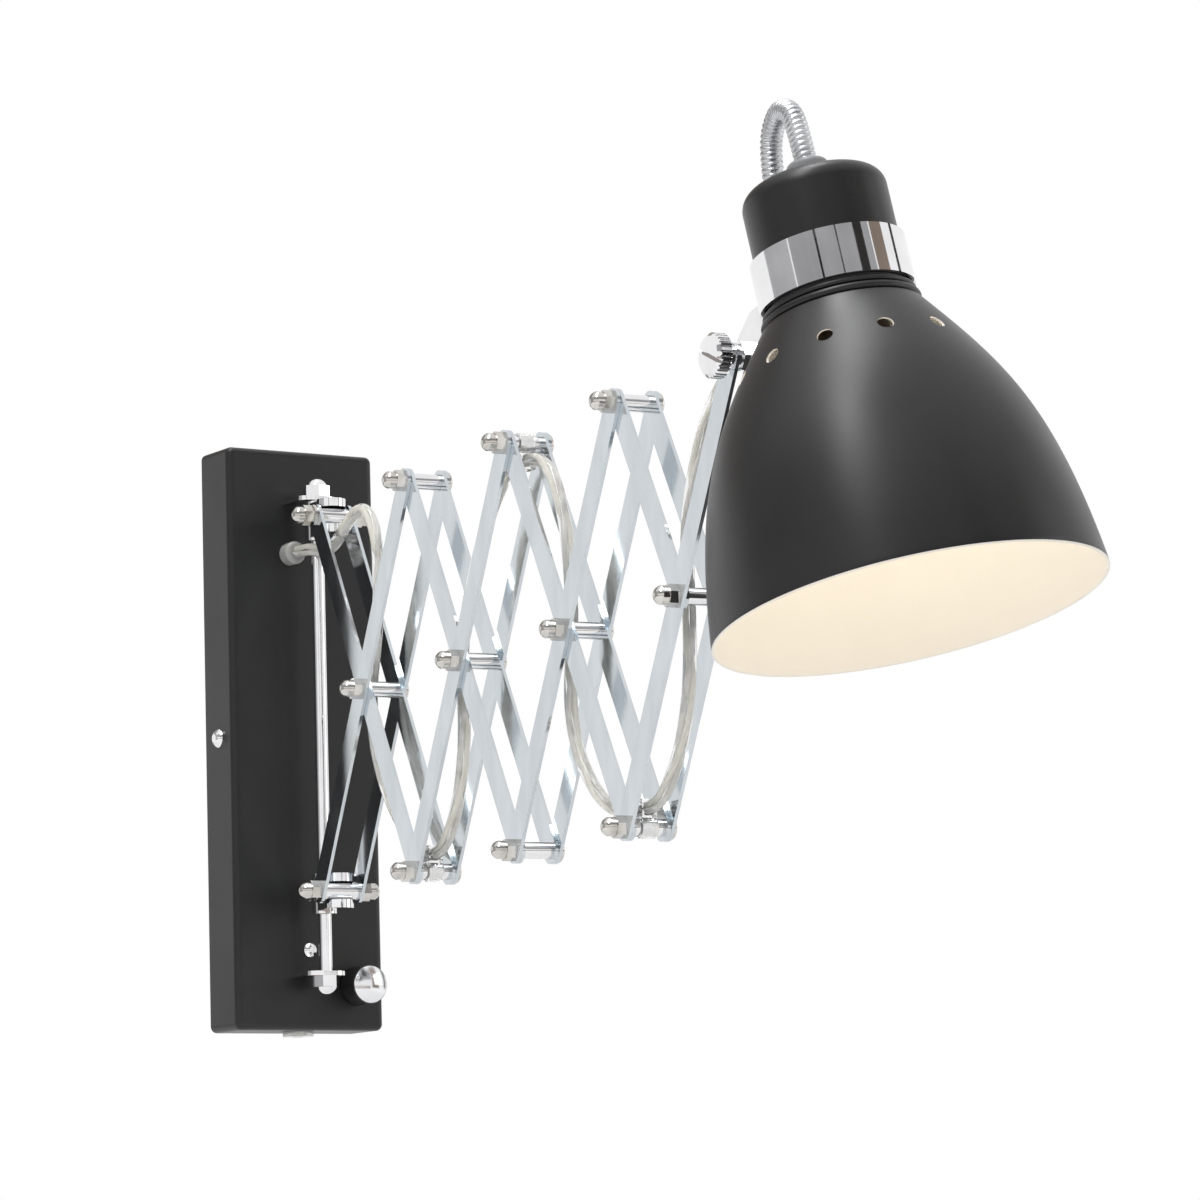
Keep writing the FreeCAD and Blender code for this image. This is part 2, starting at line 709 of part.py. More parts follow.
def bolt():
    """A low round-headed bolt along n, its head on the far side of the stack."""
    inside = S.bolt_head_height / 2.0
    shank = rod(S.bolt_diameter, STACK * 2.0 + S.nut_hex * 0.8 + inside, 0.0, STACK + inside, 0.0,
                ALONG_Y)
    disc = rod(S.bolt_head_diameter, S.bolt_head_height, 0.0, STACK + S.bolt_head_height, 0.0,
               ALONG_Y)
    crown = num(STACK) + num(S.bolt_head_height) - 0.01
    head = rounded(disc, S.bolt_head_height * 0.7, lambda edge: edge.BoundBox.YMin > crown)
    return join(shank, head)


ACORN = domed_nut(S.nut_across, S.nut_hex, S.nut_height, S.nut_dome,
                  HOLE, S.nut_hex + 0.2)

# which pivots' spacers and bolts ride on which bars
PIVOT_SETS = [
    ("spine_1", [middle_pivot(1), lower_pivot(2)]),
    ("spine_2", [middle_pivot(2), upper_pivot(3)]),
    ("spine_3", [middle_pivot(3), lower_pivot(4)]),
    ("spine_4", [middle_pivot(4)]),
    ("cross_1", [upper_pivot(2)]),
    ("cross_2", [lower_pivot(3)]),
    ("cross_3", [upper_pivot(4)]),
]


def pivots():
    """Spacer tubes, bolts and acorn nuts of the lattice."""
    spacer = tube(S.spacer_diameter, S.spacer_length)
    long_bolt = bolt()
    for name, places in PIVOT_SETS:
        gathered(name + "_spacers", [(spacer, in_arm(u, 0, z)) for u, z in places])
        stack = []
        for u, z in places:
            stack += [(long_bolt, in_arm(u, 0, z)), (ACORN, nut_place(u, z, -1))]
        gathered(name + "_bolts", stack)


def cable_clip():
    """The strap that ties the cable to a spacer: two joined loops in the plane of the arm."""
    loop = S.spacer_diameter + S.clip_thickness * 2.0
    rise = (S.spacer_diameter + S.cable_diameter) / 2.0 + S.clip_thickness
    eye = S.cable_diameter + S.clip_thickness * 2.0
    lower = rod(loop, S.clip_width, 0.0, S.clip_width / 2.0, 0.0, ALONG_Y)
    upper = bind(doc.addObject("Part::Box", "Saddle"), Length=S.clip_width,
                 Width=S.cable_diameter + S.clip_thickness, Height=eye)
    shift(upper, -(S.clip_width / 2.0), -((S.cable_diameter + S.clip_thickness) / 2.0),
          rise - eye / 2.0)
    tunnel = rod(S.cable_diameter + 0.1, S.clip_width * 3.0, -(S.clip_width * 1.5), 0.0, rise,
                 ALONG_X)
    hole = rod(S.spacer_diameter + 0.04, S.clip_width * 3.0, 0.0, S.clip_width * 1.5, 0.0,
               ALONG_Y)
    return cut(join(lower, upper), tunnel, hole)


CLIP_RISE = (num(S.spacer_diameter) + num(S.cable_diameter)) / 2.0 + num(S.clip_thickness)


def cable_clips():
    """Clips at the lower, upper and lower pivots along the cable's way."""
    clip = cable_clip()
    upside_down = Rotation(Vector(1, 0, 0), 180)
    for number, centre, turn in ((1, lower_pivot(2), Rotation()),
                                 (2, upper_pivot(3), upside_down),
                                 (3, lower_pivot(4), Rotation())):
        gathered("cable_clip_%d" % number, [(clip, in_arm(centre[0], 0, centre[1], turn))])


# ---------------------------------------------------------------- cable
def rounded_route(points, name):
    """Straight runs joined by tangent arcs, each as large as its two runs allow."""
    points = [Vector(*point) for point in points]
    edges = []
    radii = []
    last = points[0]
    for before, corner, after in zip(points, points[1:], points[2:]):
        incoming = (corner - before).normalize()
        outgoing = (after - corner).normalize()
        shorter = min(corner.distanceToPoint(before), corner.distanceToPoint(after))
        half_turn = incoming.getAngle(outgoing) / 2.0
        trim = 0.45 * shorter
        radii.append(trim / math.tan(half_turn))
        enter = corner - incoming * trim
        leave = corner + outgoing * trim
        inward = (outgoing - incoming).normalize()
        depth = radii[-1] / math.cos(half_turn) - radii[-1]
        edges.append(Part.LineSegment(last, enter).toShape())
        edges.append(Part.Arc(enter, corner + inward * depth, leave).toShape())
        last = leave
    edges.append(Part.LineSegment(last, points[-1]).toShape())
    print("%s: smallest bend radius %.1f mm, length %.1f mm"
          % (name, min(radii), sum(edge.Length for edge in edges)))
    return Part.Wire(edges)


def cable(name, points):
    """A round cable along a route in the arm's axes."""
    path = rounded_route(points, name)
    start = path.Edges[0]
    tangent = start.tangentAt(start.FirstParameter)
    profile = Part.Wire(Part.makeCircle(num(S.cable_diameter) / 2.0,
                                        path.Vertexes[0].Point, tangent))
    solid = path.makePipeShell([profile], True, False, 2)
    section = math.pi * (num(S.cable_diameter) / 2.0) ** 2
    print("%s: volume %.3f of section times length" % (name, solid.Volume / section / path.Length))
    thing = doc.addObject("Part::Feature", name)
    thing.Shape = solid
    node(name, thing, ARM)


def cables():
    """The clear cable: out of the plate, through the lattice and up to the head."""
    first_clip = (lower_pivot(2)[0], 0, lower_pivot(2)[1] + CLIP_RISE)
    second_clip = (upper_pivot(3)[0], 0, upper_pivot(3)[1] - CLIP_RISE)
    third_clip = (lower_pivot(4)[0], 0, lower_pivot(4)[1] + CLIP_RISE)
    lead_start = ARM.inverse().multVec(Vector(num(S.outlet_across),
                                              -num(S.cover_depth) - num(S.outlet_reach),
                                              num(S.outlet_height)))
    lead_out = lead_start + ARM.Rotation.inverted().multVec(Vector(0, -5.0, 0))
    cable("cable_lead", [tuple(lead_start), tuple(lead_out), (4.2, -5.9, 83.7),
                         (9.6, -4.3, 82.9), (15.2, -2.5, 82.2), (21.5, -1.3, 83.0),
                         (27.0, -0.4, 87.5)])
    cable("cable_span_1", [(27.0, -0.4, 87.5), (31.4, 0.32, 91.1), (37.5, 1.4, 95.7),
                           (46.5, 2.4, 96.6), (55.5, 2.6, 88.0), (61.0, 2.2, 71.5),
                           (62.6, 1.0, 51.5), (60.6, -0.4, 31.0), (57.0, -1.2, 12.0),
                           (60.0, -1.6, -8.0), (68.0, -1.6, -27.0), (79.5, -1.2, -43.0),
                           (92.5, -0.6, -55.5), (104.5, 0.0, first_clip[2]), first_clip])
    cable("cable_span_2", [first_clip, (122.5, 0.0, first_clip[2]), (136.5, -0.8, -54.0),
                           (148.0, -2.0, -38.0), (154.2, -3.0, -19.0), (155.4, -3.6, 2.0),
                           (155.2, -3.8, 18.0), (161.5, -3.2, 38.0), (171.0, -2.0, 59.0),
                           (183.0, -0.8, 77.0), (198.5, 0.0, second_clip[2]), second_clip])
    cable("cable_span_3", [second_clip, (223.5, 0.0, second_clip[2]), (237.5, -0.4, 81.0),
                           (246.5, -0.8, 65.0), (251.6, -1.0, 44.0), (253.0, -1.2, 22.0),
                           (251.4, -1.2, 2.0), (248.6, -1.0, -16.0), (253.0, -0.8, -34.0),
                           (264.0, -0.4, -50.0), (279.5, -0.1, -61.5), (296.5, 0.0, third_clip[2]),
                           third_clip])
    cable("cable_span_4", [third_clip, (320.5, 0.0, third_clip[2]), (335.0, -0.2, -52.0),
                           (345.0, -0.4, -36.0), (350.2, -0.5, -16.0), (351.2, -0.6, 4.0),
                           (350.4, -0.5, 24.0), (351.0, -0.2, 42.0), (355.0, 0.4, 58.0),
                           (361.8, 1.2, 73.0), (371.5, 2.6, 86.5), (382.0, 4.6, 96.4),
                           (391.5, 6.2, 102.6), HOSE_ROUTE[0]])


HOSE_ROUTE = [
    (401.0, 7.6, 108.2), (410.5, 8.4, 118.2), (417.5, 7.2, 133.0), (422.6, 3.8, 150.0),
    (425.6, 0.4, 166.5), (428.6, -1.6, 178.4), (438.6, -3.2, 186.2), (449.4, -4.4, 183.4),
]


def hose_end():
    """Where the hose leaves the bushing, in the arm's axes."""
    rise = num(S.cap_height) + num(S.bushing_height)
    return IN_HEAD.multVec(Vector(0, 0, rise)), IN_HEAD.multVec(Vector(0, 0, rise + 12.0))


def spring_hose():
    """The stripwound metal hose between the tilt joint and the head."""
    end, above = hose_end()
    points = HOSE_ROUTE + [tuple(above), tuple(end)]
    path = rounded_route(points, "spring_hose")
    ribs = int(path.Length / num(S.rib_pitch))
    pitch = path.Length / ribs
    outer = num(S.hose_diameter) / 2.0
    valley = outer - num(S.hose_groove)
    rings = []
    profile = [(0.0, valley), (0.28, outer), (0.72, outer), (1.0, valley)]
    steady = Vector(0, 1, 0)
    stations = []
    for rib in range(ribs):
        for part, radius in profile:
            if part == 0.0 and rib:
                continue
            stations.append((pitch * (rib + part), radius))
    walk = path_walker(path)
    for distance, radius in stations:
        centre, tangent = walk(distance)
        side = (steady - tangent * steady.dot(tangent)).normalize()
        ring = Part.Circle(centre, tangent, radius)
        ring.XAxis = side
        rings.append(Part.Wire(ring.toShape()))
    ribbed = Part.makeLoft(rings, True, True)
    start, first = walk(0.0)
    bore_ring = Part.Wire(Part.makeCircle(num(S.hose_bore) / 2.0, start, first))
    bore = path.makePipeShell([bore_ring], True, False, 2)
    thing = doc.addObject("Part::Feature", "spring_hose")
    thing.Shape = ribbed.cut(bore)
    print("spring_hose: %d ribs" % ribs)
    node("spring_hose", thing, ARM)


def path_walker(path):
    """Gives the point and the direction at a distance along a wire."""
    edges = path.OrderedEdges
    lengths = [edge.Length for edge in edges]

    def walk(distance):
        for number, (edge, length) in enumerate(zip(edges, lengths)):
            if distance <= length or number == len(edges) - 1:
                parameter = edge.getParameterByLength(min(distance, length))
                direction = edge.tangentAt(parameter)
                return edge.valueAt(parameter), direction.normalize()
            distance -= length
    return walk


# ---------------------------------------------------------------- tilt joint
def tilt_hardware():
    """Collars and washers that carry the head bracket between the last bars, and the far nut."""
    start = S.ear_thickness / 2.0 + S.collar_gap
    length = INNER - start - S.layer_gap
    collar = cut(hexagon(S.collar_across, length), rod(HOLE, S.collar_across * 2.0, 0.0, 0.0,
                                                       -S.collar_across))
    filler = cut(rod(S.washer_diameter, S.bar_thickness),
                 rod(HOLE, S.washer_diameter, 0.0, 0.0, -(S.washer_diameter / 2.0)))
    u, z = upper_pivot(5)
    copies = []
    for side in (1, -1):
        turn = Rotation(Vector(1, 0, 0), -90 * side)
        copies.append((collar, in_arm(u, side * num(start), z, turn)))
        copies.append((filler, in_arm(u, side * num(INNER), z, turn)))
    gathered("tilt_collars", copies)
    gathered("tilt_nut", [(ACORN, nut_place(u, z, 1))])


def thumb_screw():
    """The knurled, slotted screw that clamps the tilt joint."""
    face = S.thumb_face
    grip = rod(S.thumb_diameter, S.thumb_knurl, 0.0, -(face - S.thumb_knurl), 0.0, ALONG_Y)
    neck = rod(S.thumb_neck, face - S.thumb_knurl - STACK, 0.0, -STACK, 0.0, ALONG_Y)
    shank = rod(S.bolt_diameter, STACK * 2.0 + S.nut_hex * 0.8, 0.0, STACK + S.nut_hex * 0.8, 0.0,
                ALONG_Y)
    slot = box(S.thumb_diameter * 1.2, S.thumb_slot_depth * 2.0, S.thumb_slot_width, 0.0,
               -face, -(S.thumb_slot_width / 2.0))
    bevel = bind(doc.addObject("Part::Cone", "Bevel"), Radius1=S.thumb_diameter / 2.0 + 6.0,
                 Radius2=S.thumb_diameter / 2.0 - 1.4, Height=7.4)
    shift(bevel, 0.0, -face + 7.4, 0.0, ALONG_Y)
    beveled = overlap(grip, bevel)
    whole = cut(join(beveled, neck, shank), slot)
    doc.recompute()
    solid = whole.Shape
    notches = int(num(S.thumb_notches))
    radius = num(S.thumb_diameter) / 2.0
    for step in range(notches):
        angle = 2 * math.pi * step / notches
        notch = Part.makeCylinder(0.45, num(S.thumb_knurl) * 1.5,
                                  Vector(radius * math.cos(angle), -num(face) - 1.0,
                                         radius * math.sin(angle)), Vector(0, 1, 0))
        solid = solid.cut(notch)
    thing = doc.addObject("Part::Feature", "thumb_screw")
    thing.Shape = solid
    u, z = upper_pivot(5)
    return node("thumb_screw", thing, in_arm(u, 0, z, Rotation(Vector(0, 1, 0), 25)))


# ---------------------------------------------------------------- head
HEAD_U = upper_pivot(5)[0] + num(S.head_reach)
HEAD_Z = upper_pivot(5)[1] + num(S.head_rise)
# the head's own axes stand on the upper edge of its band, with z up the head
IN_HEAD = Placement(Vector(HEAD_U, 0, HEAD_Z),
                    Rotation(Vector(0, 1, 0), -num(S.head_tilt)).multiply(
                        Rotation(Vector(1, 0, 0), num(S.head_lean))))
HEAD = ARM.multiply(IN_HEAD)


def clamp_band():
    """The bright band round the cap, its two ends flat together as the ear of the joint."""
    low = -num(S.ring_height)
    outer = Part.makeCylinder(num(S.ring_diameter) / 2.0, num(S.ring_height), Vector(0, 0, low))
    inner = Part.makeCylinder(num(S.ring_diameter) / 2.0 - num(S.ring_wall),
                              num(S.ring_height) * 3, Vector(0, 0, low * 2))
    outer.Placement = IN_HEAD.multiply(outer.Placement)
    inner.Placement = IN_HEAD.multiply(inner.Placement)
    u, z = upper_pivot(5)
    outline = [(31.0, 23.4), (1.0, 17.5), (-9.5, 8.5), (-9.5, -2.0), (-4.0, -8.0), (34.6, 4.9)]
    points = [Vector(u + x, -num(S.ear_thickness) / 2.0, z + y) for x, y in outline]
    flat = Part.Face(Part.makePolygon(points + points[:1]))
    ear = flat.extrude(Vector(0, num(S.ear_thickness), 0))
    upright = [edge for edge in ear.Edges if abs(edge.Vertexes[0].Y - edge.Vertexes[-1].Y) > 1.0
               and min(vertex.X for vertex in edge.Vertexes) < u + 5.0]
    ear = ear.makeFillet(num(S.ear_corner) * 0.6, upright)
    hole = Part.makeCylinder(num(HOLE) / 2.0, num(S.ear_thickness) * 4,
                             Vector(u, -num(S.ear_thickness) * 2, z), Vector(0, 1, 0))
    band = outer.fuse(ear).cut(inner).cut(hole)
    thing = doc.addObject("Part::Feature", "head_clamp_band")
    thing.Shape = band.removeSplitter()
    return node("head_clamp_band", thing, ARM)


def turned_shape(profile):
    """A solid of revolution about Z from a closed list of edges in the XZ plane."""
    wire = Part.Wire(Part.__sortEdges__(profile))
    return Part.Face(wire).revolve(Vector(0, 0, 0), Vector(0, 0, 1), 360)


# the bell's outer curve from rim to shoulder: four poles, as parts of its radius and height
BELL = [(1.0, 0.0), (0.9125, 0.5449), (0.7352, 0.7067), (0.4111, 1.0)]


def bell_curve(inset):
    """The bell's curve, moved inward by the wall."""
    low = -num(S.shade_drop)
    high = num(S.shade_drop) - num(S.ring_height) - num(S.neck_zone)
    rim = num(S.shade_diameter) / 2.0
    curve = Part.BezierCurve()
    curve.setPoles([Vector(rim * radius - inset, 0, low + high * height)
                    for radius, height in BELL])
    return curve


def lamp_shade():
    """The spun bell: rolled bead and neck groove above, vent holes round its shoulder."""
    wall = num(S.shade_wall)
    outer = bell_curve(0.0)
    inner = bell_curve(wall)
    neck_top = -num(S.ring_height) + 6.0
    bead = num(S.bead_diameter) / 2.0
    shoulder = -num(S.ring_height) - num(S.neck_zone)
    neck = num(S.ring_diameter) / 2.0 - num(S.ring_wall) - 0.1
    top = outer.getPole(4)
    inner_top = inner.getPole(4)
    path = [top, Vector(bead - 0.6, 0, shoulder + 0.9), Vector(bead - 0.6, 0, shoulder + 2.4),
            Vector(neck - 0.6, 0, shoulder + 3.2), Vector(neck - 0.6, 0, shoulder + 4.2),
            Vector(bead - 1.6, 0, shoulder + 4.8), Vector(bead - 1.6, 0, shoulder + 5.8),
            Vector(neck - 0.6, 0, shoulder + 6.4), Vector(neck - 0.6, 0, neck_top),
            Vector(neck - 0.6 - wall, 0, neck_top), Vector(neck - 0.6 - wall, 0, shoulder),
            inner_top]
    edges = [outer.toShape()]
    for first, second in zip(path, path[1:]):
        edges.append(Part.LineSegment(first, second).toShape())
    edges.append(inner.toShape())
    edges.append(Part.LineSegment(inner.getPole(1), outer.getPole(1)).toShape())
    solid = turned_shape(edges)
    count = int(num(S.vent_count))
    height = -num(S.shade_drop) + num(S.vent_height)
    level = Part.LineSegment(Vector(0, 0, height), Vector(num(S.shade_diameter), 0, height))
    vent_radius = outer.intersectCC(level)[0].X
    for step in range(count):
        angle = math.radians(num(S.vent_start) + 360.0 * step / count)
        out = Vector(math.cos(angle) * 0.8, math.sin(angle) * 0.8, 0.6)
        centre = Vector(math.cos(angle) * vent_radius, math.sin(angle) * vent_radius, height)
        drill = Part.makeCylinder(num(S.vent_diameter) / 2.0, 16.0, centre - out * 8.0, out)
        solid = solid.cut(drill)
    thing = doc.addObject("Part::Feature", "shade")
    thing.Shape = solid
    return node("shade", thing, HEAD)


def lamp_cap():
    """The cap over the lampholder, with a rounded top edge."""
    low = -S.ring_height + 6.4
    inside = S.ring_diameter - S.ring_wall * 2.0 - 0.1
    barrel = rod(S.cap_diameter, S.cap_height - low, 0.0, 0.0, low)
    height = num(S.cap_height) - 0.01
    soft = rounded(barrel, S.cap_corner, lambda edge: edge.BoundBox.ZMin > height)
    foot = rod(inside, -low - 0.1, 0.0, 0.0, low)
    hollow = rod(S.cap_diameter - S.cap_wall * 2.0, S.cap_height - low - S.cap_wall, 0.0, 0.0,
                 low)
    ceiling = height - num(S.cap_wall) - 0.02
    cavity = rounded(hollow, S.cap_corner - S.cap_wall, lambda edge: edge.BoundBox.ZMin > ceiling)
    bore = rod(10.2, S.cap_height * 2.0)
    return node("lamp_cap", cut(join(soft, foot), cavity, bore), HEAD)


def hose_bushing():
    """The grey bushing on the cap, a hollow nipple that also carries the lampholder."""
    rise = S.bushing_height
    dome = rounded(rod(S.bushing_diameter, rise, 0.0, 0.0, S.cap_height), 2.2,
                   lambda edge: edge.BoundBox.ZMin > num(S.cap_height) + num(rise) - 0.01)
    nipple = rod(10.0, S.cap_wall + S.holder_gap + 2.0, 0.0, 0.0,
                 S.cap_height - S.cap_wall - S.holder_gap - 2.0)
    bore = rod(S.hose_bore, S.cap_height * 2.0, 0.0, 0.0, 5.0)
    return node("hose_bushing", cut(join(dome, nipple), bore), HEAD)


def lampholder():
    """The screw lampholder that hangs from the bushing's nipple."""
    top = S.cap_height - S.cap_wall - S.holder_gap
    body = rod(S.holder_diameter, S.holder_height, 0.0, 0.0, top - S.holder_height)
    socket = rod(S.socket_diameter, S.socket_depth, 0.0, 0.0, top - S.holder_height)
    bore = rod(10.2, 6.0, 0.0, 0.0, top - 5.0)
    chamber = rod(12.0, 8.0, 0.0, 0.0, top - 12.0)
    edge_low = num(top) - num(S.holder_height) + 0.01
    soft = rounded(body, 2.0, lambda edge: edge.BoundBox.ZMax < edge_low
                   or edge.BoundBox.ZMin > num(top) - 0.01)
    return node("lampholder", cut(soft, socket, bore, chamber), HEAD)


def bulb():
    """A screw-base bulb in the lampholder."""
    mouth = num(S.cap_height) - num(S.cap_wall) - num(S.holder_gap) - num(S.holder_height)
    base = num(S.bulb_base_diameter) / 2.0
    top = mouth + num(S.bulb_base_length)
    radius = num(S.bulb_diameter) / 2.0
    centre = top - num(S.bulb_length) + radius
    neck = Vector(base + 1.5, 0, mouth - 3.0)
    side = Vector(radius, 0, centre)
    shoulder = Vector(radius * 0.84, 0, centre + radius * 0.72)
    outline = Part.BSplineCurve()
    outline.interpolate(Points=[neck, shoulder, side], Tangents=[Vector(0, 0, -1), Vector(
        0.62, 0, -0.78), Vector(0, 0, -1)], TangentFlags=[True, True, True])
    low = Vector(0, 0, centre - radius)
    belly = Part.Arc(side, Vector(radius * math.sqrt(0.5), 0, centre - radius * math.sqrt(0.5)),
                     low)
    edges = [Part.LineSegment(Vector(0, 0, top), Vector(base - 4, 0, top)).toShape(),
             Part.LineSegment(Vector(base - 4, 0, top), Vector(base, 0, top - 3)).toShape(),
             Part.LineSegment(Vector(base, 0, top - 3), Vector(base, 0, mouth - 3.0)).toShape(),
             Part.LineSegment(Vector(base, 0, mouth - 3.0), neck).toShape(),
             outline.toShape(), belly.toShape(),
             Part.LineSegment(low, Vector(0, 0, top)).toShape()]
    thing = doc.addObject("Part::Feature", "bulb")
    thing.Shape = turned_shape(edges)
    return node("bulb", thing, HEAD)


# ---------------------------------------------------------------- build
wall_cover()
wall_bracket()
cover_screws()
rod_lugs()
pivot_rod()
rod_cap_nuts()
bottom_gland()
outlet_gland()
terminal_block()
dimmer_body()
dimmer_knob()
knob_cap()
carriers()
lattice()
pivots()
cable_clips()
cables()
spring_hose()
tilt_hardware()
thumb_screw()
clamp_band()
lamp_shade()
lamp_cap()
hose_bushing()
lampholder()
bulb()

doc.recompute()
for item in doc.Objects:
    if "Invalid" in item.State or "Error" in item.State:
        raise RuntimeError("failed object: %s (%s), %s" % (item.Name, item.Label, item.State))
for item in NODES:
    if item.Shape.isNull() or not item.Shape.isValid():
        raise RuntimeError("bad shape: %s" % item.Label)

os.makedirs("parts", exist_ok=True)
for item in NODES:
    item.Shape.exportStep("parts/%s.step" % item.Label)
print("%d nodes" % len(NODES))
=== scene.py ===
import math

import bpy
from mathutils import Matrix, Vector


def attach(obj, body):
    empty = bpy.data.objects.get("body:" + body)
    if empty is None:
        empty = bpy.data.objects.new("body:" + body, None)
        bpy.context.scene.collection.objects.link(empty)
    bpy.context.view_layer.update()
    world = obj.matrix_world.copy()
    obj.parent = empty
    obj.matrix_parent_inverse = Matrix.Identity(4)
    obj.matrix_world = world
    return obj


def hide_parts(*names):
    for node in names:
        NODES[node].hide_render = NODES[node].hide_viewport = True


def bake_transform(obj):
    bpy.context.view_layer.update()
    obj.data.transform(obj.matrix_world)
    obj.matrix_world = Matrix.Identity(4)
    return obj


# Looks of the accordion wall lamp. The frame is in metres: X right, Y to the wall, Z up.
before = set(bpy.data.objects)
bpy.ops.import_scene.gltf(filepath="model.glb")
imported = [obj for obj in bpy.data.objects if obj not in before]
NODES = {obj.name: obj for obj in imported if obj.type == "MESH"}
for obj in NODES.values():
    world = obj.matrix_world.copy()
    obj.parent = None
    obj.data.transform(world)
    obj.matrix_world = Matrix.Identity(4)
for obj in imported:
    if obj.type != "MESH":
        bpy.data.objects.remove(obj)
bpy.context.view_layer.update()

# ---------------------------------------------------------------- places
# Places on the arm and in the head are in millimetres along their own axes, as in the part.
MM = 0.001
# The arm: its heading from straight out of the wall, and the rod that it swings on.
SWING = math.radians(-4.85)
ARM_OUT = Vector((math.sin(SWING), -math.cos(SWING), 0.0))
ARM_ACROSS = Vector((math.cos(SWING), math.sin(SWING), 0.0))
ROD = Vector((0.0, -0.0402, 0.0))
# The head: the middle of its band's upper edge on the arm, and how its axis leans.
HEAD_AT = (465.05, 0.0, 126.1)
HEAD_TILT = math.radians(11.5)
HEAD_LEAN = math.radians(5.5)


def in_arm(u, n, z):
    """A point in the arm's axes, in millimetres, as a point of the frame."""
    return ROD + ARM_OUT * (u * MM) + ARM_ACROSS * (n * MM) + Vector((0.0, 0.0, z * MM))


def in_head(x, y, z):
    """A point in the head's axes, in millimetres, as a point of the frame."""
    turn = Matrix.Rotation(-HEAD_TILT, 3, "Y") @ Matrix.Rotation(HEAD_LEAN, 3, "X")
    arm = turn @ Vector((x, y, z)) + Vector(HEAD_AT)
    return in_arm(*arm)


HEAD_ORIGIN = in_head(0.0, 0.0, 0.0)
HEAD_UP = (in_head(0.0, 0.0, 100.0) - HEAD_ORIGIN).normalized()

# ---------------------------------------------------------------- cable and hose routes
# Out from the rod, across the arm, and up. The clips hold the cable at two levels.
LOW_CLIP = -64.65
HIGH_CLIP = 89.95
LEAD = [(-6.6, -7.4, 84.0), (-1.6, -7.0, 84.0), (4.2, -5.9, 83.7), (9.6, -4.3, 82.9),
        (15.2, -2.5, 82.2), (21.5, -1.3, 83.0), (27.0, -0.4, 87.5)]
SPAN_1 = [(27.0, -0.4, 87.5), (31.4, 0.32, 91.1), (37.5, 1.4, 95.7), (46.5, 2.4, 96.6),
          (55.5, 2.6, 88.0), (61.0, 2.2, 71.5), (62.6, 1.0, 51.5), (60.6, -0.4, 31.0),
          (57.0, -1.2, 12.0), (60.0, -1.6, -8.0), (68.0, -1.6, -27.0), (79.5, -1.2, -43.0),
          (92.5, -0.6, -55.5), (104.5, 0.0, LOW_CLIP), (113.49, 0.0, LOW_CLIP)]
SPAN_2 = [(113.49, 0.0, LOW_CLIP), (122.5, 0.0, LOW_CLIP), (136.5, -0.8, -54.0),
          (148.0, -2.0, -38.0), (154.2, -3.0, -19.0), (155.4, -3.6, 2.0), (155.2, -3.8, 18.0),
          (161.5, -3.2, 38.0), (171.0, -2.0, 59.0), (183.0, -0.8, 77.0),
          (198.5, 0.0, HIGH_CLIP), (211.27, 0.0, HIGH_CLIP)]
SPAN_3 = [(211.27, 0.0, HIGH_CLIP), (223.5, 0.0, HIGH_CLIP), (237.5, -0.4, 81.0),
          (246.5, -0.8, 65.0), (251.6, -1.0, 44.0), (253.0, -1.2, 22.0), (251.4, -1.2, 2.0),
          (248.6, -1.0, -16.0), (253.0, -0.8, -34.0), (264.0, -0.4, -50.0),
          (279.5, -0.1, -61.5), (296.5, 0.0, LOW_CLIP), (309.06, 0.0, LOW_CLIP)]
SPAN_4 = [(309.06, 0.0, LOW_CLIP), (320.5, 0.0, LOW_CLIP), (335.0, -0.2, -52.0),
          (345.0, -0.4, -36.0), (350.2, -0.5, -16.0), (351.2, -0.6, 4.0), (350.4, -0.5, 24.0),
          (351.0, -0.2, 42.0), (355.0, 0.4, 58.0), (361.8, 0.8, 73.0), (371.5, 1.5, 86.5),
          (382.0, 3.1, 96.4), (391.5, 5.6, 102.6), (401.0, 7.6, 108.2)]
HOSE = [(401.0, 7.6, 108.2), (410.5, 8.4, 118.2), (417.5, 7.2, 133.0), (422.6, 3.8, 150.0),
        (425.6, 0.4, 166.5), (428.6, -1.6, 178.4), (438.6, -3.2, 186.2), (449.4, -4.4, 183.4)]
# The hose ends in the bushing: points of the head's axis.
HOSE_END = [(0.0, 0.0, 48.5), (0.0, 0.0, 36.4)]

# Each stretch: name, route, the node it replaces, the two bodies it runs between, and the points
# where its bend starts and ends.
STRETCHES = [
    ("lead", LEAD, "cable_lead", ("plate", "swing_carrier"),
     ((-6.0, -7.4, 84.0), (20.0, -1.3, 83.0))),
    ("span_1", SPAN_1, "cable_span_1", ("swing_carrier", "spine_1"),
     ((27.0, 0.0, 87.8), (41.0, 0.0, 86.0))),
    ("span_2", SPAN_2, "cable_span_2", ("spine_1", "spine_2"),
     ((113.5, 0.0, LOW_CLIP), (148.0, 0.0, -38.0))),
    ("span_3", SPAN_3, "cable_span_3", ("spine_2", "spine_3"),
     ((211.3, 0.0, HIGH_CLIP), (246.5, 0.0, 65.0))),
    ("span_4", SPAN_4, "cable_span_4", ("spine_3", "spine_4"),
     ((309.1, 0.0, LOW_CLIP), (345.0, 0.0, -36.0))),
]


# ---------------------------------------------------------------- new objects
def show(name, data):
    """A new object in the scene."""
    thing = bpy.data.objects.new(name, data)
    bpy.context.scene.collection.objects.link(thing)
    return thing


def mesh_piece(name, points, faces, *materials):
    """A new mesh object with its materials."""
    mesh = bpy.data.meshes.new(name)
    mesh.from_pydata(points, [], faces)
    for material in materials:
        mesh.materials.append(material)
    return show(name, mesh)


# ---------------------------------------------------------------- material helpers
UNSTRETCHED = (1.0, 1.0, 1.0)


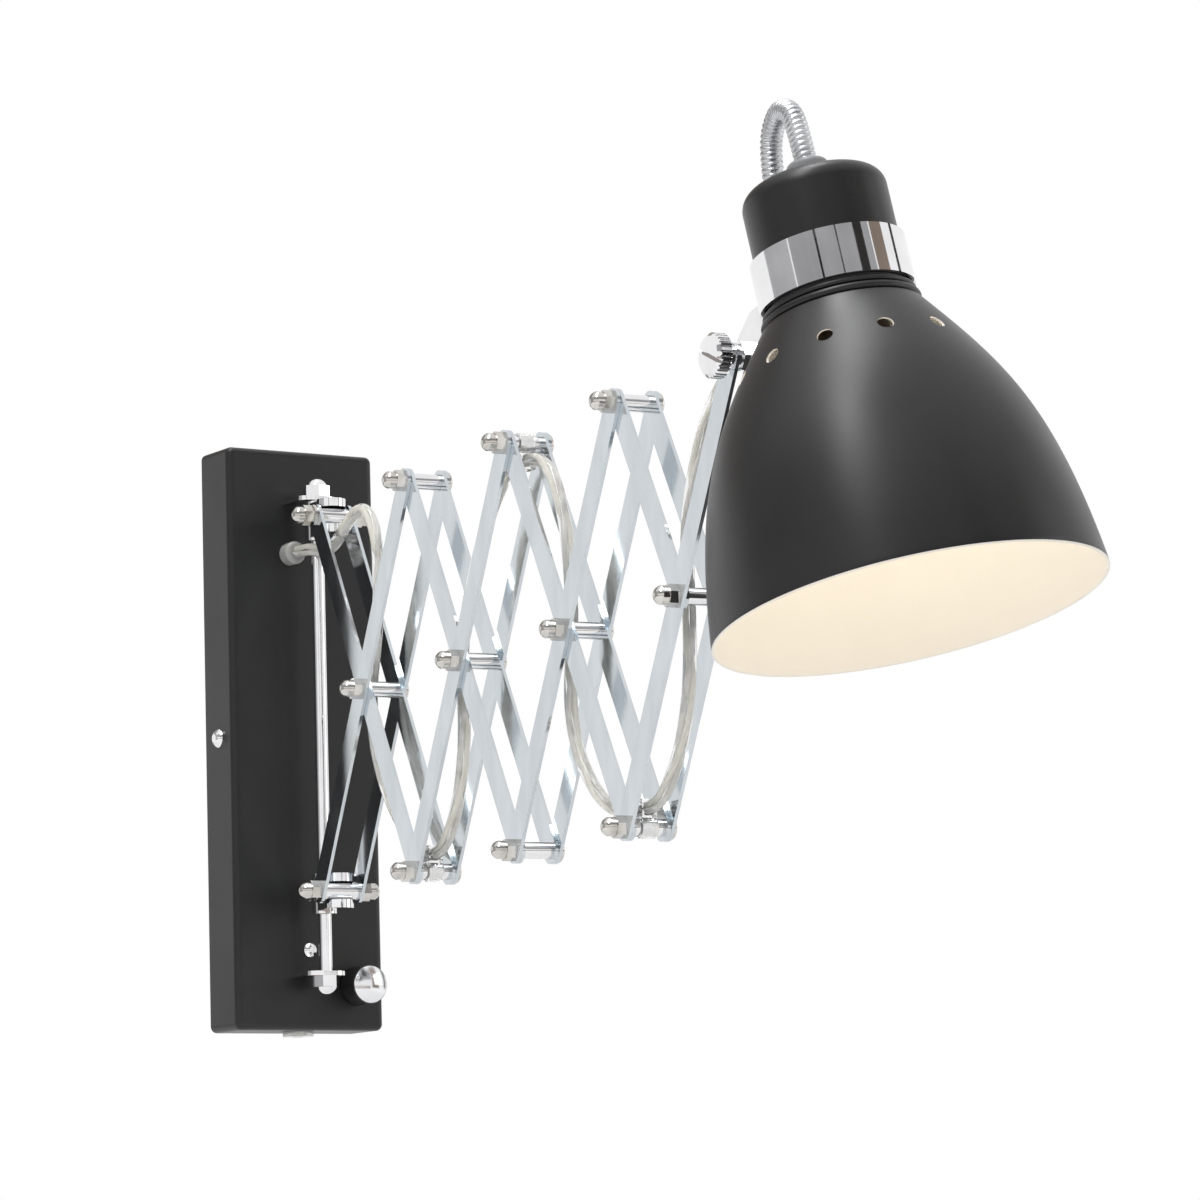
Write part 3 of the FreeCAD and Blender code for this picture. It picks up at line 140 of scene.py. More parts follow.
def shader(name):
    """A new material, its nodes, and its surface shader."""
    material = bpy.data.materials.new(name)
    material.use_nodes = True
    nodes = material.node_tree.nodes
    return material, nodes, material.node_tree.links, nodes["Principled BSDF"]


def noise(nodes, links, scale, detail, stretch=UNSTRETCHED):
    """Object-space noise, stretched along the axes."""
    place = nodes.new("ShaderNodeTexCoord")
    mapping = nodes.new("ShaderNodeMapping")
    mapping.inputs["Scale"].default_value = stretch
    texture = nodes.new("ShaderNodeTexNoise")
    texture.inputs["Scale"].default_value = scale
    texture.inputs["Detail"].default_value = detail
    links.new(place.outputs["Object"], mapping.inputs["Vector"])
    links.new(mapping.outputs["Vector"], texture.inputs["Vector"])
    return texture.outputs["Fac"]


def ramp(nodes, links, source, low, high, start=0.35, end=0.65):
    """A two-colour ramp over a value."""
    blend = nodes.new("ShaderNodeValToRGB")
    blend.color_ramp.elements[0].position = start
    blend.color_ramp.elements[0].color = (*low, 1.0)
    blend.color_ramp.elements[1].position = end
    blend.color_ramp.elements[1].color = (*high, 1.0)
    links.new(source, blend.inputs["Fac"])
    return blend.outputs["Color"]


def map_range(nodes, links, source, start, end, low, high, kind="LINEAR"):
    """A value moved from one range into another, and held at its ends."""
    node = nodes.new("ShaderNodeMapRange")
    node.interpolation_type = kind
    node.inputs["From Min"].default_value = start
    node.inputs["From Max"].default_value = end
    node.inputs["To Min"].default_value = low
    node.inputs["To Max"].default_value = high
    links.new(source, node.inputs["Value"])
    return node.outputs["Result"]


def combine(nodes, links, operation, first, second):
    """Two values put together by a math node."""
    node = nodes.new("ShaderNodeMath")
    node.operation = operation
    links.new(first, node.inputs[0])
    links.new(second, node.inputs[1])
    return node.outputs["Value"]


def relief(nodes, links, source, surface, strength, depth):
    """Fine bump from a value."""
    bump = nodes.new("ShaderNodeBump")
    bump.inputs["Strength"].default_value = strength
    bump.inputs["Distance"].default_value = depth
    links.new(source, bump.inputs["Height"])
    links.new(bump.outputs["Normal"], surface.inputs["Normal"])


# ---------------------------------------------------------------- materials
def cloudy(name, colours, gloss, cloud, fine, grain=UNSTRETCHED):
    """A material whose colour and roughness follow one noise, under a fine relief.

    colours and gloss are the darker and paler, lower and higher ends; cloud is the noise's scale
    and detail; fine is the relief's scale, strength and depth; grain stretches both noises.
    """
    material, nodes, links, surface = shader(name)
    clouds = noise(nodes, links, *cloud, grain)
    links.new(ramp(nodes, links, clouds, *colours), surface.inputs["Base Color"])
    links.new(map_range(nodes, links, clouds, 0.3, 0.7, *gloss), surface.inputs["Roughness"])
    scale, strength, depth = fine
    relief(nodes, links, noise(nodes, links, scale, 2.0, grain), surface, strength, depth)
    return material, surface


def satin_paint(name, dark, pale, rough):
    """Powder-coated steel: near black, with a faint grain and cloudy gloss."""
    material, surface = cloudy(name, (dark, pale), (rough - 0.03, rough + 0.04), (26.0, 4.0),
                               (2600.0, 0.12, 0.06 * MM))
    surface.inputs["Specular IOR Level"].default_value = 0.42
    return material


def polished_metal(name, dark, pale, rough, grain=UNSTRETCHED, scale=60.0):
    """Plated metal, its gloss broken by faint polishing marks."""
    material, surface = cloudy(name, (dark, pale), (rough * 0.7, rough * 1.5), (scale, 5.0),
                               (900.0, 0.04, 0.04 * MM), grain)
    surface.inputs["Metallic"].default_value = 1.0
    return material


def moulded(name, dark, pale, rough):
    """Plain moulded plastic with a fine grain."""
    material, _ = cloudy(name, (dark, pale), (rough - 0.05, rough + 0.05), (120.0, 3.0),
                         (3000.0, 0.15, 0.05 * MM))
    return material


def clear_plastic(name, tint, share):
    """Clear soft plastic: mostly see-through, slightly milky."""
    paler = tuple(min(1.0, value * 1.06) for value in tint)
    material, surface = cloudy(name, (tint, paler), (0.03, 0.08), (180.0, 3.0),
                               (700.0, 0.05, 0.05 * MM))
    surface.inputs["Transmission Weight"].default_value = share
    surface.inputs["IOR"].default_value = 1.46
    return material


def enamel():
    """The shade's inside: warm white enamel."""
    material, _ = cloudy("shade_inside", ((0.90, 0.85, 0.785), (0.92, 0.87, 0.805)), (0.50, 0.60),
                         (18.0, 4.0), (2200.0, 0.08, 0.05 * MM))
    return material


# The bulb's glow rises between two levels of the head, in millimetres, up to its full strength.
# Above them the glass is painted near black: painted shade on the bulb's upper part.
GLOW_ENDS = -62.0
GLOW_FULL = -74.0
GLOW_STRENGTH = 2.32


def head_level(nodes, links):
    """How far a point lies up the head's axis from the band's upper edge, in metres."""
    place = nodes.new("ShaderNodeTexCoord")
    away = nodes.new("ShaderNodeVectorMath")
    away.operation = "SUBTRACT"
    away.inputs[1].default_value = HEAD_ORIGIN
    links.new(place.outputs["Object"], away.inputs[0])
    along = nodes.new("ShaderNodeVectorMath")
    along.operation = "DOT_PRODUCT"
    along.inputs[1].default_value = HEAD_UP
    links.new(away.outputs["Vector"], along.inputs[0])
    return along.outputs["Value"]


def glowing_glass():
    """The opal bulb, glowing below a level; above it the glass is painted near black as painted
    shade.
    """
    material, nodes, links, surface = shader("bulb_glow")
    cloud = noise(nodes, links, 40.0, 2.0)
    below = map_range(nodes, links, head_level(nodes, links), GLOW_ENDS * MM, GLOW_FULL * MM,
                      0.0, 1.0, "SMOOTHSTEP")
    # Painted shade: near-black glass above the glow, the bulb's own pale glass below it.
    tint = nodes.new("ShaderNodeMixRGB")
    links.new(below, tint.inputs["Fac"])
    links.new(ramp(nodes, links, cloud, (0.035, 0.022, 0.016), (0.050, 0.032, 0.024)),
              tint.inputs["Color1"])
    links.new(ramp(nodes, links, cloud, (0.95, 0.90, 0.82), (1.0, 0.95, 0.88)),
              tint.inputs["Color2"])
    links.new(tint.outputs["Color"], surface.inputs["Base Color"])
    links.new(ramp(nodes, links, cloud, (1.0, 0.915, 0.66), (1.0, 0.935, 0.71)),
              surface.inputs["Emission Color"])
    links.new(map_range(nodes, links, below, 0.0, 1.0, 0.0, GLOW_STRENGTH),
              surface.inputs["Emission Strength"])
    surface.inputs["Roughness"].default_value = 0.3
    return material


BLACK = satin_paint("plate_satin_black", (0.0095, 0.0097, 0.0102), (0.0125, 0.0128, 0.0135), 0.38)
CAP_BLACK = satin_paint("cap_satin_black", (0.0105, 0.0105, 0.011), (0.0135, 0.0135, 0.014), 0.36)
NICKEL = polished_metal("bar_nickel", (0.56, 0.60, 0.63), (0.63, 0.67, 0.70), 0.10,
                        (1.0, 1.0, 0.35), 90.0)
CHROME = polished_metal("chrome", (0.78, 0.78, 0.79), (0.86, 0.86, 0.87), 0.055)
STEEL = polished_metal("zinc_steel", (0.50, 0.50, 0.49), (0.62, 0.62, 0.61), 0.28,
                       (1.0, 1.0, 0.1), 120.0)
NUTS = polished_metal("nut_nickel", (0.52, 0.50, 0.47), (0.68, 0.66, 0.63), 0.09,
                      UNSTRETCHED, 140.0)
KNOB_FACE = polished_metal("knob_face", (0.80, 0.81, 0.83), (0.90, 0.91, 0.93), 0.16)
HOSE_METAL = polished_metal("hose_metal", (0.50, 0.51, 0.53), (0.60, 0.61, 0.63), 0.26)
GREY_PLASTIC = moulded("grey_plastic", (0.25, 0.255, 0.265), (0.29, 0.295, 0.305), 0.45)
BLACK_PLASTIC = moulded("black_plastic", (0.012, 0.012, 0.012), (0.018, 0.018, 0.018), 0.38)
WHITE_PLASTIC = moulded("white_plastic", (0.74, 0.73, 0.70), (0.82, 0.81, 0.78), 0.40)
CLEAR = clear_plastic("clear_plastic", (0.86, 0.86, 0.83), 0.62)
SHEATH = clear_plastic("clear_sheath", (0.97, 0.97, 0.95), 0.92)
TINNED = moulded("tinned_strands", (0.62, 0.61, 0.58), (0.86, 0.85, 0.82), 0.30)
CREAM_CORE = moulded("cream_core", (0.84, 0.82, 0.74), (0.90, 0.88, 0.81), 0.40)
ENAMEL = enamel()
GLOW = glowing_glass()

# Finishes by node. The other nodes go by what their names say, or are chromed.
FINISHES = {
    "wall_cover": BLACK, "wall_bracket": STEEL, "cable_gland": CLEAR, "cable_outlet_gland": CLEAR,
    "terminal_block": WHITE_PLASTIC, "dimmer_body": BLACK_PLASTIC, "dimmer_knob": BLACK_PLASTIC,
    "knob_cap": KNOB_FACE, "shade": CAP_BLACK, "lamp_cap": CAP_BLACK, "hose_bushing": GREY_PLASTIC,
    "lampholder": BLACK_PLASTIC, "bulb": GLOW,
}


def dress(name, thing):
    """Gives a carried-over piece its finish."""
    finish = FINISHES.get(name, CHROME)
    if name.startswith("cable_clip"):
        finish = SHEATH
    if name.endswith(("_bolts", "_bolt")):
        finish = NUTS
    if "bars" in name:
        finish = NICKEL
    thing.data.materials.clear()
    thing.data.materials.append(finish)


# ---------------------------------------------------------------- cables
# A line's fineness is how many points the smooth line has between two route points, and its
# step how far apart they are in the end. Sides are those of a tube.
CABLE_RADIUS = 2.75 * MM
CABLE_FINENESS = 12
CABLE_STEP = 1.2 * MM
CABLE_SIDES = 24
# The two cores in the clear sheath: their size, their offset, and the length of one twist.
CORE_RADIUS = 0.95 * MM
CORE_OFFSET = 1.05 * MM
CORE_TWIST = 70.0 * MM
CORE_SIDES = 10
# The stripwound hose, the length and depth of its ribs, and how round they are.
HOSE_RADIUS = 4.35 * MM
HOSE_FINENESS = 24
HOSE_STEP = 0.26 * MM
HOSE_SIDES = 36
RIB_PITCH = 2.1 * MM
RIB_DEPTH = 0.75 * MM
RIB_ROUNDNESS = 0.6


def smooth_line(name, points, fineness):
    """Points of the smooth line that a route gives."""
    curve = bpy.data.curves.new(name, "CURVE")
    curve.dimensions = "3D"
    spline = curve.splines.new("NURBS")
    spline.points.add(len(points) - 1)
    for control, place in zip(spline.points, points):
        control.co = (*place, 1.0)
    spline.order_u = 3
    spline.use_endpoint_u = True
    spline.resolution_u = fineness
    carrier = show(name, curve)
    bpy.context.view_layer.update()
    graph = bpy.context.evaluated_depsgraph_get()
    mesh = bpy.data.meshes.new_from_object(carrier.evaluated_get(graph))
    line = [vertex.co.copy() for vertex in mesh.vertices]
    bpy.data.meshes.remove(mesh)
    bpy.data.objects.remove(carrier)
    bpy.data.curves.remove(curve)
    return line


def frames(line):
    """Distance, centre, side and rise at each point of a line, without twist."""
    side = None
    distance = 0.0
    result = []
    for number, centre in enumerate(line):
        before = line[max(number - 1, 0)]
        after = line[min(number + 1, len(line) - 1)]
        tangent = (after - before).normalized()
        if side is None:
            side = tangent.orthogonal().normalized()
        side = (side - tangent * side.dot(tangent)).normalized()
        if number:
            distance += (centre - line[number - 1]).length
        result.append((distance, centre, side, tangent.cross(side)))
    return result


def evenly(line, step):
    """The same line with points a steady step apart."""
    total = sum((b - a).length for a, b in zip(line, line[1:]))
    count = max(2, int(round(total / step)))
    wanted = [total * number / count for number in range(count + 1)]
    result = []
    walked = 0.0
    index = 0
    for target in wanted:
        while index < len(line) - 2 and walked + (line[index + 1] - line[index]).length < target:
            walked += (line[index + 1] - line[index]).length
            index += 1
        length = (line[index + 1] - line[index]).length
        share = min(1.0, max(0.0, (target - walked) / length))
        result.append(line[index].lerp(line[index + 1], share))
    return result


def tube(name, line, reach, sides, material, offset=None):
    """A closed round tube along a line.

    reach gives its radius at a distance and an angle; offset, if any, how far its middle lies
    from the line at a distance.
    """
    vertices = []
    faces = []
    for distance, centre, side, rise in frames(line):
        if offset is not None:
            across, up = offset(distance)
            centre = centre + side * across + rise * up
        for step in range(sides):
            angle = 2.0 * math.pi * step / sides
            radius = reach(distance, angle)
            vertices.append(tuple(centre + side * (radius * math.cos(angle))
                                  + rise * (radius * math.sin(angle))))
    rings = len(line)
    for ring in range(rings - 1):
        for step in range(sides):
            a = ring * sides + step
            b = ring * sides + (step + 1) % sides
            faces.append((a, b, b + sides, a + sides))
    faces.append(tuple(reversed(range(sides))))
    faces.append(tuple(range((rings - 1) * sides, rings * sides)))
    piece = mesh_piece(name, vertices, faces, material)
    for face in piece.data.polygons:
        face.use_smooth = len(face.vertices) == 4
    return piece


def even(radius):
    """The reach of a plain round tube."""
    return lambda distance, angle: radius


def twisted(start):
    """The offset of a core that winds round the sheath's middle from a starting angle."""
    def offset(distance):
        angle = 2.0 * math.pi * distance / CORE_TWIST + start
        return CORE_OFFSET * math.cos(angle), CORE_OFFSET * math.sin(angle)

    return offset


def ribbed(distance, angle):
    """The reach of the hose: rounded ribs on a steady helix."""
    phase = (distance / RIB_PITCH - angle / (2.0 * math.pi)) % 1.0
    crest = max(0.0, math.sin(math.pi * phase)) ** RIB_ROUNDNESS
    return HOSE_RADIUS - RIB_DEPTH * (1.0 - crest)


def clear_cable(name, route, node, bodies, bend):
    """One stretch of clear cable: sheath with two twisted cores, in place of its node; bodies and
    bend are not used.
    """
    points = [in_arm(*point) for point in route]
    line = evenly(smooth_line(name, points, CABLE_FINENESS), CABLE_STEP)
    sheath = tube(name + "_sheath", line, even(CABLE_RADIUS), CABLE_SIDES, SHEATH)
    pieces = [sheath]
    for number, material in enumerate((TINNED, CREAM_CORE)):
        pieces.append(tube(f"{name}_core_{number + 1}", line, even(CORE_RADIUS), CORE_SIDES,
                           material, twisted(math.pi * number)))
    for piece in pieces:
        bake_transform(piece)
    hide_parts(node)


def spring_hose():
    """The stripwound hose from the tilt joint into the head's bushing."""
    points = [in_arm(*point) for point in HOSE] + [in_head(*point) for point in HOSE_END]
    line = evenly(smooth_line("hose_line", points, HOSE_FINENESS), HOSE_STEP)
    hose = tube("stripwound_hose", line, ribbed, HOSE_SIDES, HOSE_METAL)
    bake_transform(hose)
    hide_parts("spring_hose")


# ---------------------------------------------------------------- shade
# Millimetres in the head's axes. BELL holds the poles of the bell's curve, as shares of the
# rim's radius and the bell's height.
RIM_RADIUS = 73.8
RIM_LEVEL = -140.0
BELL_HEIGHT = 113.6
BELL = [(1.0, 0.0), (0.9125, 0.5449), (0.7352, 0.7067), (0.4111, 1.0)]
SHADE_WALL = 1.2
# The neck above the bell: its foot, the rolled bead, a groove, a smaller roll, and the straight
# part that stands in the band. Rolls are a radius, a level, a size, two angles and a step count.
NECK_FOOT = [(29.3, -26.25), (28.95, -26.05)]
BEAD = (28.75, -24.4, 1.55, -78.0, 78.0, 10)
GROOVE = [(28.5, -22.75)]
SMALL_ROLL = (27.95, -21.35, 1.15, -75.0, 80.0, 8)
NECK_TOP = [(27.3, -20.0), (27.3, -13.0)]
NECK_INSIDE = [(26.1, -13.0), (26.1, -26.2), (26.3, -26.6)]
# The ring of vents: how many, where it starts round the head, its level and a vent's radius.
VENTS = 12
VENT_START = 16.0
VENT_LEVEL = -45.2
VENT_RADIUS = 3.05
# The mesh: the bell's curve is measured in fine steps and then has even rings. Each vent takes
# out a square patch of faces, and loops lead from the patch's edge in to the vent's.
FINE_STEPS = 800
BELL_RINGS = 78
COLUMNS = 144
PITCH = 360.0 / COLUMNS
PATCH = 6
VENT_LOOPS = (0.4, 0.75, 1.0)
BLACK_FACE, CREAM_FACE = 0, 1
SHARP_EDGE = math.radians(38.0)


def bell_point(share, inset):
    """Radius and level of the bell's curve, from the rim at 0 to the shoulder at 1."""
    rest = 1.0 - share
    weights = (rest ** 3, 3.0 * share * rest ** 2, 3.0 * share ** 2 * rest, share ** 3)
    radius = sum(weight * pole[0] for weight, pole in zip(weights, BELL)) * RIM_RADIUS
    height = sum(weight * pole[1] for weight, pole in zip(weights, BELL)) * BELL_HEIGHT
    return radius - inset, RIM_LEVEL + height


def bell_shares():
    """Shares of the bell's curve whose rings lie an even distance apart, and that distance."""
    points = [bell_point(step / FINE_STEPS, 0.0) for step in range(FINE_STEPS + 1)]
    walked = [0.0]
    for first, second in zip(points, points[1:]):
        walked.append(walked[-1] + math.dist(first, second))
    shares = []
    index = 0
    for ring in range(BELL_RINGS + 1):
        target = walked[-1] * ring / BELL_RINGS
        while index < FINE_STEPS - 1 and walked[index + 1] < target:
            index += 1
        part = (target - walked[index]) / (walked[index + 1] - walked[index])
        shares.append((index + part) / FINE_STEPS)
    return shares, walked[-1] / BELL_RINGS


def arc(radius, level, size, start, end, count):
    """Points of a rolled edge in the profile."""
    result = []
    for step in range(count + 1):
        angle = math.radians(start + (end - start) * step / count)
        result.append((radius + size * math.cos(angle), level + size * math.sin(angle)))
    return result


class Skin:
    """Collects the shade's points and faces, with a finish for each face."""

    def __init__(self):
        self.points = []
        self.faces = []
        self.finish = []

    def point(self, radius, level, degrees):
        """A new point at an angle round the head; gives its number."""
        angle = math.radians(degrees)
        self.points.append(tuple(in_head(radius * math.cos(angle), radius * math.sin(angle),
                                         level)))
        return len(self.points) - 1

    def face(self, corners, finish, flip):
        """A new face, turned over if it is flipped."""
        self.faces.append(tuple(reversed(corners)) if flip else tuple(corners))
        self.finish.append(finish)

    def strip(self, lower, upper, finish, flip=False):
        """Faces between two rings with as many points."""
        count = len(lower)
        for step in range(count):
            after = (step + 1) % count
            self.face((lower[step], lower[after], upper[after], upper[step]), finish, flip)

    def sweep(self, last, profile, finish, flip=False):
        """A ring at each point of a profile, each joined to the one before; gives the last."""
        for radius, level in profile:
            ring = [self.point(radius, level, VENT_START + column * PITCH)
                    for column in range(COLUMNS)]
            self.strip(last, ring, finish, flip)
            last = ring
        return last


def bell_skin(skin, inset, finish, flip):
    """One side of the bell with its vents left open; gives its end rings and vent rings."""
    shares, spacing = bell_shares()
    levels = [bell_point(share, 0.0)[1] for share in shares]
    middle = min(range(len(levels)), key=lambda ring: abs(levels[ring] - VENT_LEVEL))
    half = PATCH // 2
    per_vent = COLUMNS // VENTS

    def place(column, row):
        """A point at a fractional column and ring of the bell."""
        row = min(max(row, 0.0), float(BELL_RINGS))
        ring = min(int(row), BELL_RINGS - 1)
        share = shares[ring] + (shares[ring + 1] - shares[ring]) * (row - ring)
        radius, level = bell_point(share, inset)
        return skin.point(radius, level, VENT_START + column * PITCH)

    rings = [[place(column, row) for column in range(COLUMNS)]
             for row in range(BELL_RINGS + 1)]
    low_row = middle - half
    for row in range(BELL_RINGS):
        for column in range(COLUMNS):
            beside = (column + half) % per_vent
            if low_row <= row < low_row + PATCH and beside < PATCH:
                continue
            after = (column + 1) % COLUMNS
            skin.face((rings[row][column], rings[row][after], rings[row + 1][after],
                       rings[row + 1][column]), finish, flip)
    around = 2.0 * math.pi * bell_point(shares[middle], 0.0)[0] / COLUMNS
    # Columns and rings from a vent's middle to its patch's edge, once round.
    loop = ([(-half + step, -half) for step in range(PATCH)]
            + [(half, -half + step) for step in range(PATCH)]
            + [(half - step, half) for step in range(PATCH)]
            + [(-half, half - step) for step in range(PATCH)])
    vents = []
    for vent in range(VENTS):
        centre = vent * per_vent
        outer = [rings[middle + row][(centre + column) % COLUMNS] for column, row in loop]
        for share in VENT_LOOPS:
            ring = []
            for column, row in loop:
                angle = math.atan2(row, column)
                across = VENT_RADIUS * math.cos(angle) / around
                along = VENT_RADIUS * math.sin(angle) / spacing
                ring.append(place(centre + column + (across - column) * share,
                                  middle + row + (along - row) * share))
            skin.strip(outer, ring, finish, flip)
            outer = ring
        vents.append(outer)
    return rings[0], rings[-1], vents


def shade():
    """The spun bell: black outside, warm white inside, with its bead, lip and vents."""
    skin = Skin()
    rim_out, top_out, vents_out = bell_skin(skin, 0.0, BLACK_FACE, False)
    rim_in, top_in, vents_in = bell_skin(skin, SHADE_WALL, CREAM_FACE, True)
    for outside, inside in zip(vents_out, vents_in):
        skin.strip(outside, inside, CREAM_FACE)
    half_wall = SHADE_WALL / 2.0
    lip = arc(RIM_RADIUS - half_wall, RIM_LEVEL, half_wall, 0.0, -180.0, 6)[1:-1]
    lip_end = skin.sweep(rim_out, lip, CREAM_FACE, True)
    skin.strip(lip_end, rim_in, CREAM_FACE, True)
    neck = NECK_FOOT + arc(*BEAD) + GROOVE + arc(*SMALL_ROLL) + NECK_TOP
    neck_end = skin.sweep(top_out, neck, BLACK_FACE)
    inside_end = skin.sweep(neck_end, NECK_INSIDE, CREAM_FACE)
    skin.strip(inside_end, top_in, CREAM_FACE)
    piece = mesh_piece("bell_shade", skin.points, skin.faces, CAP_BLACK, ENAMEL)
    for face, finish in zip(piece.data.polygons, skin.finish):
        face.material_index = finish
        face.use_smooth = True
    piece.data.set_sharp_from_angle(angle=SHARP_EDGE)
    piece.data.validate()
    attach(piece, "head")
    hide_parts("shade")


# ---------------------------------------------------------------- studio
CAMERA_YAW = math.radians(32.35)
CAMERA_PITCH = math.radians(8.12)
CAMERA_ROLL = math.radians(-1.61)
CAMERA_PLACE = (-1.04503, -1.92784, -0.24949)
CAMERA_LENS = 144.264
CAMERA_SENSOR = 36.0

FLOOR_MIDDLE = (0.0, -0.3, -0.42)
FLOOR_SIDE = 14.0
FLOOR_FADE = (0.5, 2.8)
FLOOR_GLOW = (0.08, 0.5)
WORLD_SHINES = 0.55
WORLD_SEEN = 1.0

# The strip hangs over the lamp, from the camera's left to behind the wall's line.
STRIP_PLACE = (-0.62, -0.45, 2.1)
STRIP_HEADING = math.radians(-60.3)
STRIP_SIZE = (0.5, 2.3)
STRIP_POWER = 32.0
# name, place, aim, size, power
SOFT_BOXES = [
    ("key", (-1.5, -1.22, 1.75), (-0.03, -0.5, 0.02), (0.55, 0.8), 7.5),
    ("fill", (1.8, -1.7, 0.5), (0.0, -0.35, 0.0), (1.0, 1.0), 5.0),
]

# What the room behind the camera gives the metal: greys, dark lines and warm tones.
# name, heading from, to, rise from, to, distance, colour
CARDS = [
    ("card_grey_room", -58.0, 62.0, 13.0, 38.0, 3.2, (0.34, 0.34, 0.345)),
    ("card_line_left", -21.0, -18.0, 6.0, 44.0, 3.0, (0.02, 0.02, 0.022)),
    ("card_line_mid", 9.0, 11.0, 14.0, 34.0, 3.0, (0.05, 0.05, 0.05)),
    ("card_dark_blob", 36.0, 50.0, 22.0, 44.0, 3.0, (0.03, 0.028, 0.027)),
    ("card_brown", 64.0, 86.0, -7.0, 42.0, 3.1, (0.24, 0.19, 0.155)),
    ("card_left_side", -104.0, -60.0, -6.0, 34.0, 3.2, (0.42, 0.42, 0.43)),
    ("card_right_line", 104.0, 110.0, -6.0, 46.0, 3.0, (0.05, 0.05, 0.05)),
    ("card_left_high", -168.0, -104.0, 19.0, 50.0, 3.2, (0.33, 0.30, 0.28)),
    ("card_warm_low", -168.0, 60.0, -11.0, -4.5, 2.0, (0.40, 0.34, 0.30)),
]
CARDS_MIDDLE_Y = -0.3
CARD_STEP = 4.0


def seen_rays(nodes, links):
    """1 for rays that show a surface: from the camera, in metal, or through glass."""
    path = nodes.new("ShaderNodeLightPath").outputs
    shown = combine(nodes, links, "MAXIMUM", path["Is Camera Ray"], path["Is Glossy Ray"])
    return combine(nodes, links, "MAXIMUM", shown, path["Is Transmission Ray"])


def white_world():
    """A white room as it is seen, and a plain soft light as it shines."""
    world = bpy.data.worlds.new("white_room")
    bpy.context.scene.world = world
    world.use_nodes = True
    nodes = world.node_tree.nodes
    links = world.node_tree.links
    background = nodes["Background"]
    background.inputs["Color"].default_value = (1.0, 1.0, 1.0, 1.0)
    level = map_range(nodes, links, seen_rays(nodes, links), 0.0, 1.0, WORLD_SHINES, WORLD_SEEN)
    links.new(level, background.inputs["Strength"])


def floor_paint():
    """Pale floor that reads as white and still takes a shadow."""
    material, nodes, links, surface = shader("pale_floor")
    cloud = noise(nodes, links, 3.0, 2.0)
    links.new(ramp(nodes, links, cloud, (0.86, 0.86, 0.86), (0.88, 0.88, 0.88)),
              surface.inputs["Base Color"])
    surface.inputs["Roughness"].default_value = 0.8
    place = nodes.new("ShaderNodeTexCoord")
    away = nodes.new("ShaderNodeVectorMath")
    away.operation = "LENGTH"
    links.new(place.outputs["Object"], away.inputs[0])
    fade = map_range(nodes, links, away.outputs["Value"], *FLOOR_FADE, *FLOOR_GLOW, "SMOOTHSTEP")
    surface.inputs["Emission Color"].default_value = (1.0, 1.0, 1.0, 1.0)
    links.new(combine(nodes, links, "MULTIPLY", seen_rays(nodes, links), fade),
              surface.inputs["Emission Strength"])
    return material


def floor():
    """The floor that takes the lamp's shadow."""
    half = FLOOR_SIDE / 2.0
    corners = [(-half, -half, 0.0), (half, -half, 0.0), (half, half, 0.0), (-half, half, 0.0)]
    thing = mesh_piece("floor", corners, [(0, 1, 2, 3)], floor_paint())
    thing.location = FLOOR_MIDDLE


def card_paint(name, colour):
    """An even card that only bright metal and gloss pick up."""
    material, nodes, links, surface = shader(name)
    surface.inputs["Base Color"].default_value = (0.0, 0.0, 0.0, 1.0)
    surface.inputs["Specular IOR Level"].default_value = 0.0
    surface.inputs["Emission Strength"].default_value = 1.0
    cloud = noise(nodes, links, 0.8, 2.0)
    paler = tuple(min(1.0, value * 1.15) for value in colour)
    links.new(ramp(nodes, links, cloud, colour, paler), surface.inputs["Emission Color"])
    return material


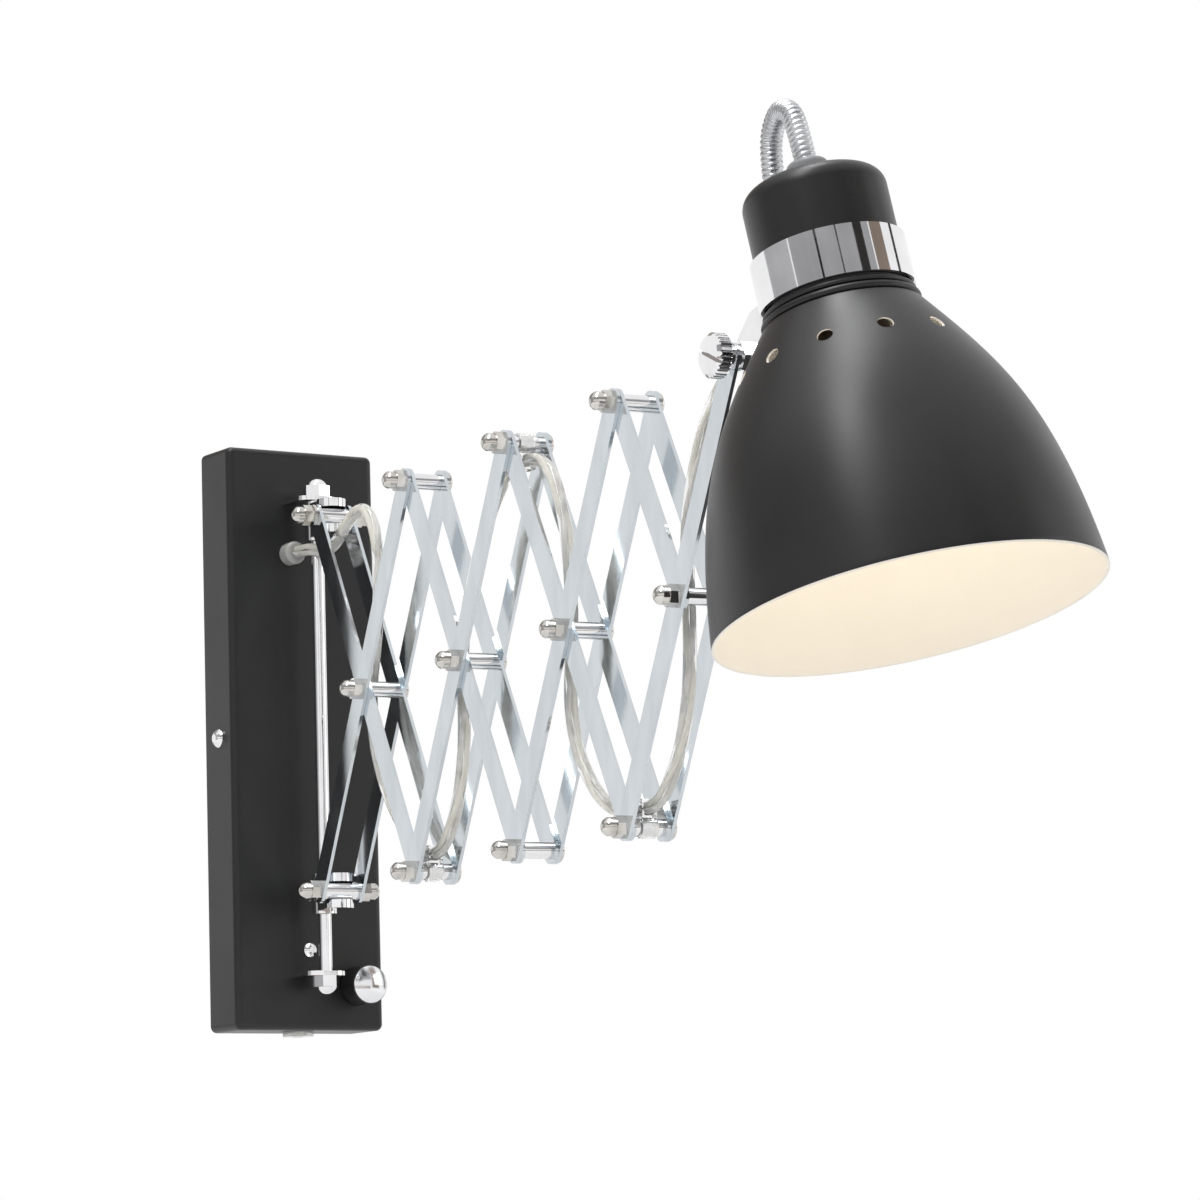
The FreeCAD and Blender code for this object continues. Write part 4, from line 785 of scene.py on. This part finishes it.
def card(name, start, end, low, high, reach, colour):
    """A curved card round the lamp: headings from the camera's, right positive, and rises."""
    points = []
    steps = max(2, int(abs(end - start) / CARD_STEP))
    for step in range(steps + 1):
        turn = math.radians(start + (end - start) * step / steps)
        x = -math.cos(turn) * math.sin(CAMERA_YAW) + math.sin(turn) * math.cos(CAMERA_YAW)
        y = -math.cos(turn) * math.cos(CAMERA_YAW) - math.sin(turn) * math.sin(CAMERA_YAW)
        for rise in (low, high):
            points.append((x * reach, CARDS_MIDDLE_Y + y * reach,
                           reach * math.tan(math.radians(rise))))
    faces = [(a, a + 2, a + 3, a + 1) for a in range(0, 2 * steps, 2)]
    thing = mesh_piece(name, points, faces, card_paint(name, colour))
    thing.visible_camera = False
    thing.visible_diffuse = False
    thing.visible_shadow = False
    thing.visible_transmission = False


def soft_box(name, place, size, power):
    """A large rectangular lamp that shines straight down."""
    data = bpy.data.lights.new(name, "AREA")
    data.shape = "RECTANGLE"
    data.size, data.size_y = size
    data.energy = power
    lamp = show(name, data)
    lamp.location = place
    return lamp


def lamps():
    """The strip overhead, and the soft boxes turned to their aims."""
    strip = soft_box("overhead", STRIP_PLACE, STRIP_SIZE, STRIP_POWER)
    strip.rotation_euler = (0.0, 0.0, STRIP_HEADING)
    for name, place, target, size, power in SOFT_BOXES:
        lamp = soft_box(name, place, size, power)
        aim = Vector(target) - Vector(place)
        lamp.rotation_euler = aim.to_track_quat("-Z", "Y").to_euler()


def camera():
    """The photograph's view."""
    data = bpy.data.cameras.new("view")
    data.sensor_width = CAMERA_SENSOR
    data.lens = CAMERA_LENS
    data.clip_start = 0.05
    data.clip_end = 60.0
    forward = Vector((math.sin(CAMERA_YAW) * math.cos(CAMERA_PITCH),
                      math.cos(CAMERA_YAW) * math.cos(CAMERA_PITCH), math.sin(CAMERA_PITCH)))
    right = Vector((math.cos(CAMERA_YAW), -math.sin(CAMERA_YAW), 0.0))
    up = right.cross(forward)
    level = right * math.cos(CAMERA_ROLL) + up * math.sin(CAMERA_ROLL)
    top = up * math.cos(CAMERA_ROLL) - right * math.sin(CAMERA_ROLL)
    turn = Matrix((level, top, -forward)).transposed().to_4x4()
    thing = show("view", data)
    thing.matrix_world = Matrix.Translation(CAMERA_PLACE) @ turn
    bpy.context.scene.camera = thing


# ---------------------------------------------------------------- scene
camera()
for node_name, node_object in NODES.items():
    dress(node_name, node_object)
for stretch in STRETCHES:
    clear_cable(*stretch)
spring_hose()
shade()
white_world()
floor()
for row in CARDS:
    card(*row)
lamps()
bpy.context.scene.view_settings.view_transform = "Standard"
